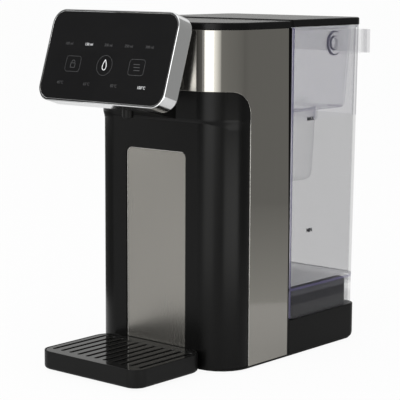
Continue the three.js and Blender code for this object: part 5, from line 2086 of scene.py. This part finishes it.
@dataclass
class Works:
    """What the housing holds: fuller hoses, seals and spring, and finishes for the solids that stay."""

    nodes: dict[str, bpy.types.Object]

    def hoses(self) -> None:
        """The silicone hoses and the seals, rounder than their solids."""
        for name in ("inlet_hose", "delivery_hose", "outlet_hose"):
            made = Solid.copy_of(self.nodes[name])
            made.piece(f"silicone_{name}", SILICONE, housing("silicone", name), 0.0, levels=2)
        for name, body in (("coupler_seal", "housing"), ("valve_ring", "tank")):
            made = Solid.copy_of(self.nodes[name])
            made.piece(f"silicone_{name}", SILICONE, Role(body, "silicone", (name,)), 0.0, levels=1)

    def spring(self) -> None:
        """The valve's spring, with a mesh of its own."""
        role = Role("tank", "zinc_steel", ("valve_spring",))
        made = Solid.copy_of(self.nodes["valve_spring"])
        coil = made.piece("valve_return_spring", PLATED, role, 0.0, levels=1)
        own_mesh(coil)

    def dress(self) -> None:
        """Gives the solids that stay their finishes."""
        finishes = {
            SATIN_BLACK: ("base_plate", "rear_wall"),
            PLATED: (
                *(f"base_screw_{k}" for k in range(1, 5)),
                "heater_tube", "heater_bracket", "outlet_sensor", "pump_motor",
            ),
            DARK: ("heater_inlet_cap", "heater_outlet_cap", "thermal_cutout", "pump_head", "coupler_pin"),
            BOARD: ("power_board",),
            EXTRUDED: ("triac_heat_sink",),
            WHITE: ("pump_rotor", "valve_housing", "valve_poppet"),
            RUBBER: ("pump_cradle",),
        }
        for finish, names in finishes.items():
            for name in names:
                for slot in self.nodes[name].material_slots:
                    slot.material = finish.material()
                log.info("%s is finished in %s", name, finish.name)

    def build(self) -> None:
        """Builds and dresses the works."""
        self.hoses()
        self.spring()
        self.dress()


# Studio

CARD_WHITE = (1.0, 1.0, 0.98, 1.0)
WHITE_LIGHT = (1.0, 1.0, 1.0, 1.0)


def heading(azimuth: float, elevation: float) -> Vector:
    """The direction from the object at so many degrees round from its front, and so many up."""
    a, e = math.radians(azimuth), math.radians(elevation)
    return Vector((math.sin(a) * math.cos(e), -math.cos(a) * math.cos(e), math.sin(e)))


def rightward(azimuth: float) -> Vector:
    """The level direction to the right of whoever looks at the object from so many degrees round."""
    a = math.radians(azimuth)
    return Vector((math.cos(a), math.sin(a), 0.0))


@dataclass(frozen=True)
class Softbox:
    """A flat lamp that faces the object, at an azimuth and elevation in degrees."""

    name: str
    azimuth: float
    elevation: float
    width: float
    height: float
    strength: float
    distance: float = 1.9

    def build(self, target: Vector) -> None:
        """Hangs the lamp; the camera doesn't see it.

        Args:
            target: The point that it faces.
        """
        toward = heading(self.azimuth, self.elevation)
        lamp = bpy.data.lights.new(self.name, "AREA")
        lamp.shape = "RECTANGLE"
        lamp.size = self.width
        lamp.size_y = self.height
        lamp.energy = self.strength * self.width * self.height * math.pi
        made = bpy.data.objects.new(self.name, lamp)
        made.location = target + toward * self.distance
        made.rotation_euler = toward.to_track_quat("Z", "Y").to_euler()
        made.visible_camera = False
        bpy.context.scene.collection.objects.link(made)


def card(name: str, corners: list[Vector], tones: list[float]) -> None:
    """Makes a grey card outside the view that only glossy surfaces see.

    Args:
        name: Its name.
        corners: Its four corners, in order.
        tones: The tone at each corner.
    """
    bm = bmesh.new()
    shade = bm.verts.layers.float.new("tone")
    for corner, tone in zip(corners, tones):
        bm.verts.new(corner)[shade] = tone
    bmesh.ops.contextual_create(bm, geom=bm.verts)
    mesh = bpy.data.meshes.new(name)
    bm.to_mesh(mesh)
    made = bpy.data.objects.new(name, mesh)
    bpy.context.scene.collection.objects.link(made)
    material = bpy.data.materials.new(name)
    material.use_nodes = True
    graph = Graph(material.node_tree)
    tone = graph.node("ShaderNodeAttribute", {"attribute_name": "tone"}, {}).outputs["Fac"]
    glow = graph.node("ShaderNodeEmission", {}, {"Color": CARD_WHITE, "Strength": tone})
    graph.node("ShaderNodeOutputMaterial", {}, {"Surface": glow.outputs[0]})
    mesh.materials.append(material)
    for ray in ("camera", "diffuse", "transmission", "volume_scatter", "shadow"):
        setattr(made, f"visible_{ray}", False)


@dataclass(frozen=True)
class Flag:
    """A card that faces the object, with a tone that runs along its azimuth and towards its foot."""

    name: str
    azimuth: float
    elevation: float
    width: float
    height: float
    tone: float
    far_tone: float
    distance: float = 1.1
    foot: float = 0.0

    def build(self, target: Vector) -> None:
        """Stands the card up.

        Args:
            target: The point that it faces.
        """
        toward = heading(self.azimuth, self.elevation)
        across = rightward(self.azimuth) * (self.width / 2)
        up = across.cross(-toward).normalized() * (self.height / 2)
        middle = target + toward * self.distance
        corners = [middle - across - up, middle + across - up, middle + across + up, middle - across + up]
        card(self.name, corners, [self.tone + self.foot, self.far_tone + self.foot, self.far_tone, self.tone])


@dataclass
class Studio:
    """White floor and backdrop, soft lamps and the camera."""

    camera_place: Vec = (0.91792, -1.08252, 0.35551)
    azimuth: float = 40.35
    elevation: float = 8.53
    roll: float = 0.26
    lens: float = 138.94
    sensor: float = 36.0
    clip_start: float = 0.05
    clip_end: float = 200.0
    clear_bounces: int = 24
    floor_size: float = 60.0
    floor_colour: Colour = (0.94, 0.94, 0.94)
    fill: float = 0.7
    floor_lift: float = 0.94
    floor_gloss: float = 0.42
    target: Vec = (0.0, 0.0, 0.15)
    lamps: tuple[Softbox, ...] = (
        Softbox("front_box", 7.0, 8.0, 1.02, 2.0, 3.22),
        Softbox("top_box", 20.0, 80.0, 1.4, 1.4, 0.6),
    )
    flags: tuple[Flag, ...] = (
        Flag("front_fade", 34.0, 4.0, 0.81, 2.0, 3.0, 0.6, 1.9),
        Flag("front_shade", -25.6, 0.0, 0.572, 1.1, 0.1, 0.3, 1.5),
        Flag("front_gleam", -42.0, 0.8, 0.237, 0.06, 1.0, 1.0, 1.45, 5.6),
        Flag("left_gleam", -68.0, 4.0, 1.0, 0.2, 1.5, 1.5, 1.5),
        Flag("low_gleam", 9.5, -10.4, 0.27, 0.22, 2.9, 2.9, 0.5),
        Flag("head_shade", -64.0, -11.5, 0.8, 0.6, 0.12, 0.12, 1.5),
        Flag("pane_shade", -42.5, 23.0, 0.9, 0.8, 0.12, 0.12, 1.6),
        Flag("left_shade", -78.7, -14.6, 0.32, 0.26, 0.15, 0.2, 0.316),
        Flag("right_shade", 78.0, 0.0, 0.75, 1.2, 0.5, 0.35, 0.54),
        Flag("side_shade", 144.0, 0.0, 0.75, 1.2, 0.33, 0.42, 0.54),
        Flag("side_glow", 128.5, -17.5, 0.16, 0.115, 0.39, 0.39, 0.345, 0.3),
        Flag("low_light", 74.0, -10.4, 0.37, 0.22, 3.7, 3.7, 0.5),
        Flag("back_shade", 220.0, 16.2, 1.6, 0.42, 0.55, 0.55, 1.36),
    )
    wedge: tuple[Vec, ...] = (
        (-0.11, -0.1655, 0.235),
        (-0.0445, -0.1655, 0.235),
        (-0.0324, -0.1655, 0.31),
        (-0.11, -0.1655, 0.31),
    )
    wedge_tone: float = 0.03

    def rays(self, graph: Graph) -> tuple[Socket, Socket]:
        """Gives 1 for a ray that looks straight on and else 0, and the same for a ray off gloss.

        Args:
            graph: The graph to build in.

        Returns:
            Both values.
        """
        path = graph.node("ShaderNodeLightPath", {}, {})
        camera, glossy, through = (
            Socket(graph, path.outputs[f"Is {kind} Ray"]) for kind in ("Camera", "Glossy", "Transmission")
        )
        return graph.math("MAXIMUM", camera, through), glossy

    def backdrop(self) -> None:
        """White all round to the camera and to gloss, and a plain fill light for the rest."""
        world = bpy.data.worlds.new("studio")
        world.use_nodes = True
        graph = Graph(world.node_tree)
        seen = graph.math("MAXIMUM", *self.rays(graph))
        strength = seen + (1.0 - seen) * self.fill
        sky = graph.node("ShaderNodeBackground", {}, {"Color": WHITE_LIGHT, "Strength": strength})
        graph.node("ShaderNodeOutputWorld", {}, {"Surface": sky.outputs[0]})
        bpy.context.scene.world = world

    def floor(self) -> None:
        """The white floor, which keeps the shadow."""
        bm = bmesh.new()
        bmesh.ops.create_grid(bm, x_segments=1, y_segments=1, size=self.floor_size / 2)
        mesh = bpy.data.meshes.new("studio_floor")
        bm.to_mesh(mesh)
        made = bpy.data.objects.new("studio_floor", mesh)
        bpy.context.scene.collection.objects.link(made)
        material = bpy.data.materials.new("studio_floor")
        material.use_nodes = True
        graph = Graph(material.node_tree)
        matt = graph.node("ShaderNodeBsdfDiffuse", {}, {"Color": opaque(self.floor_colour)})
        glow = graph.node("ShaderNodeEmission", {}, {"Color": WHITE_LIGHT, "Strength": 1.0})
        straight, glossy = self.rays(graph)
        share = graph.math("MAXIMUM", straight * self.floor_lift, glossy * self.floor_gloss)
        both = graph.node("ShaderNodeMixShader", {}, {0: share, 1: matt.outputs[0], 2: glow.outputs[0]})
        graph.node("ShaderNodeOutputMaterial", {}, {"Surface": both.outputs[0]})
        mesh.materials.append(material)

    def camera(self) -> None:
        """The camera, at the angle from which the object is known."""
        roll = math.radians(self.roll)
        back, right = heading(self.azimuth, self.elevation), rightward(self.azimuth)
        up = right.cross(-back)
        across = right * math.cos(roll) + up * math.sin(roll)
        upward = up * math.cos(roll) - right * math.sin(roll)
        made = bpy.data.objects.new("camera", bpy.data.cameras.new("camera"))
        made.data.lens = self.lens
        made.data.sensor_width = self.sensor
        made.data.clip_start = self.clip_start
        made.data.clip_end = self.clip_end
        turn = Matrix((across, upward, back)).transposed().to_4x4()
        made.matrix_world = Matrix.Translation(self.camera_place) @ turn
        bpy.context.scene.collection.objects.link(made)
        bpy.context.scene.camera = made

    def build(self) -> None:
        """Sets up the studio."""
        scene = bpy.context.scene
        scene.view_settings.view_transform = "Standard"
        scene.cycles.transparent_max_bounces = self.clear_bounces
        self.camera()
        self.backdrop()
        self.floor()
        for part in (*self.lamps, *self.flags):
            part.build(Vector(self.target))
        card("wedge_shade", [Vector(corner) for corner in self.wedge], [self.wedge_tone] * 4)


def main() -> None:
    """Loads the frame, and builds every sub-assembly and the studio."""
    logging.basicConfig(level=logging.INFO, format="%(name)s: %(message)s")
    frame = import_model()
    tank = Tank()
    parts = (
        Column(), Head(), tank, Bail(), Funnel(tank), Cartridge(), Lid(), Dock(), DripTray(),
        Works(frame["nodes"]), Studio(),
    )
    for part in parts:
        part.build()
        log.info("%s is in place", type(part).__name__)


if __name__ == "__main__":
    main()
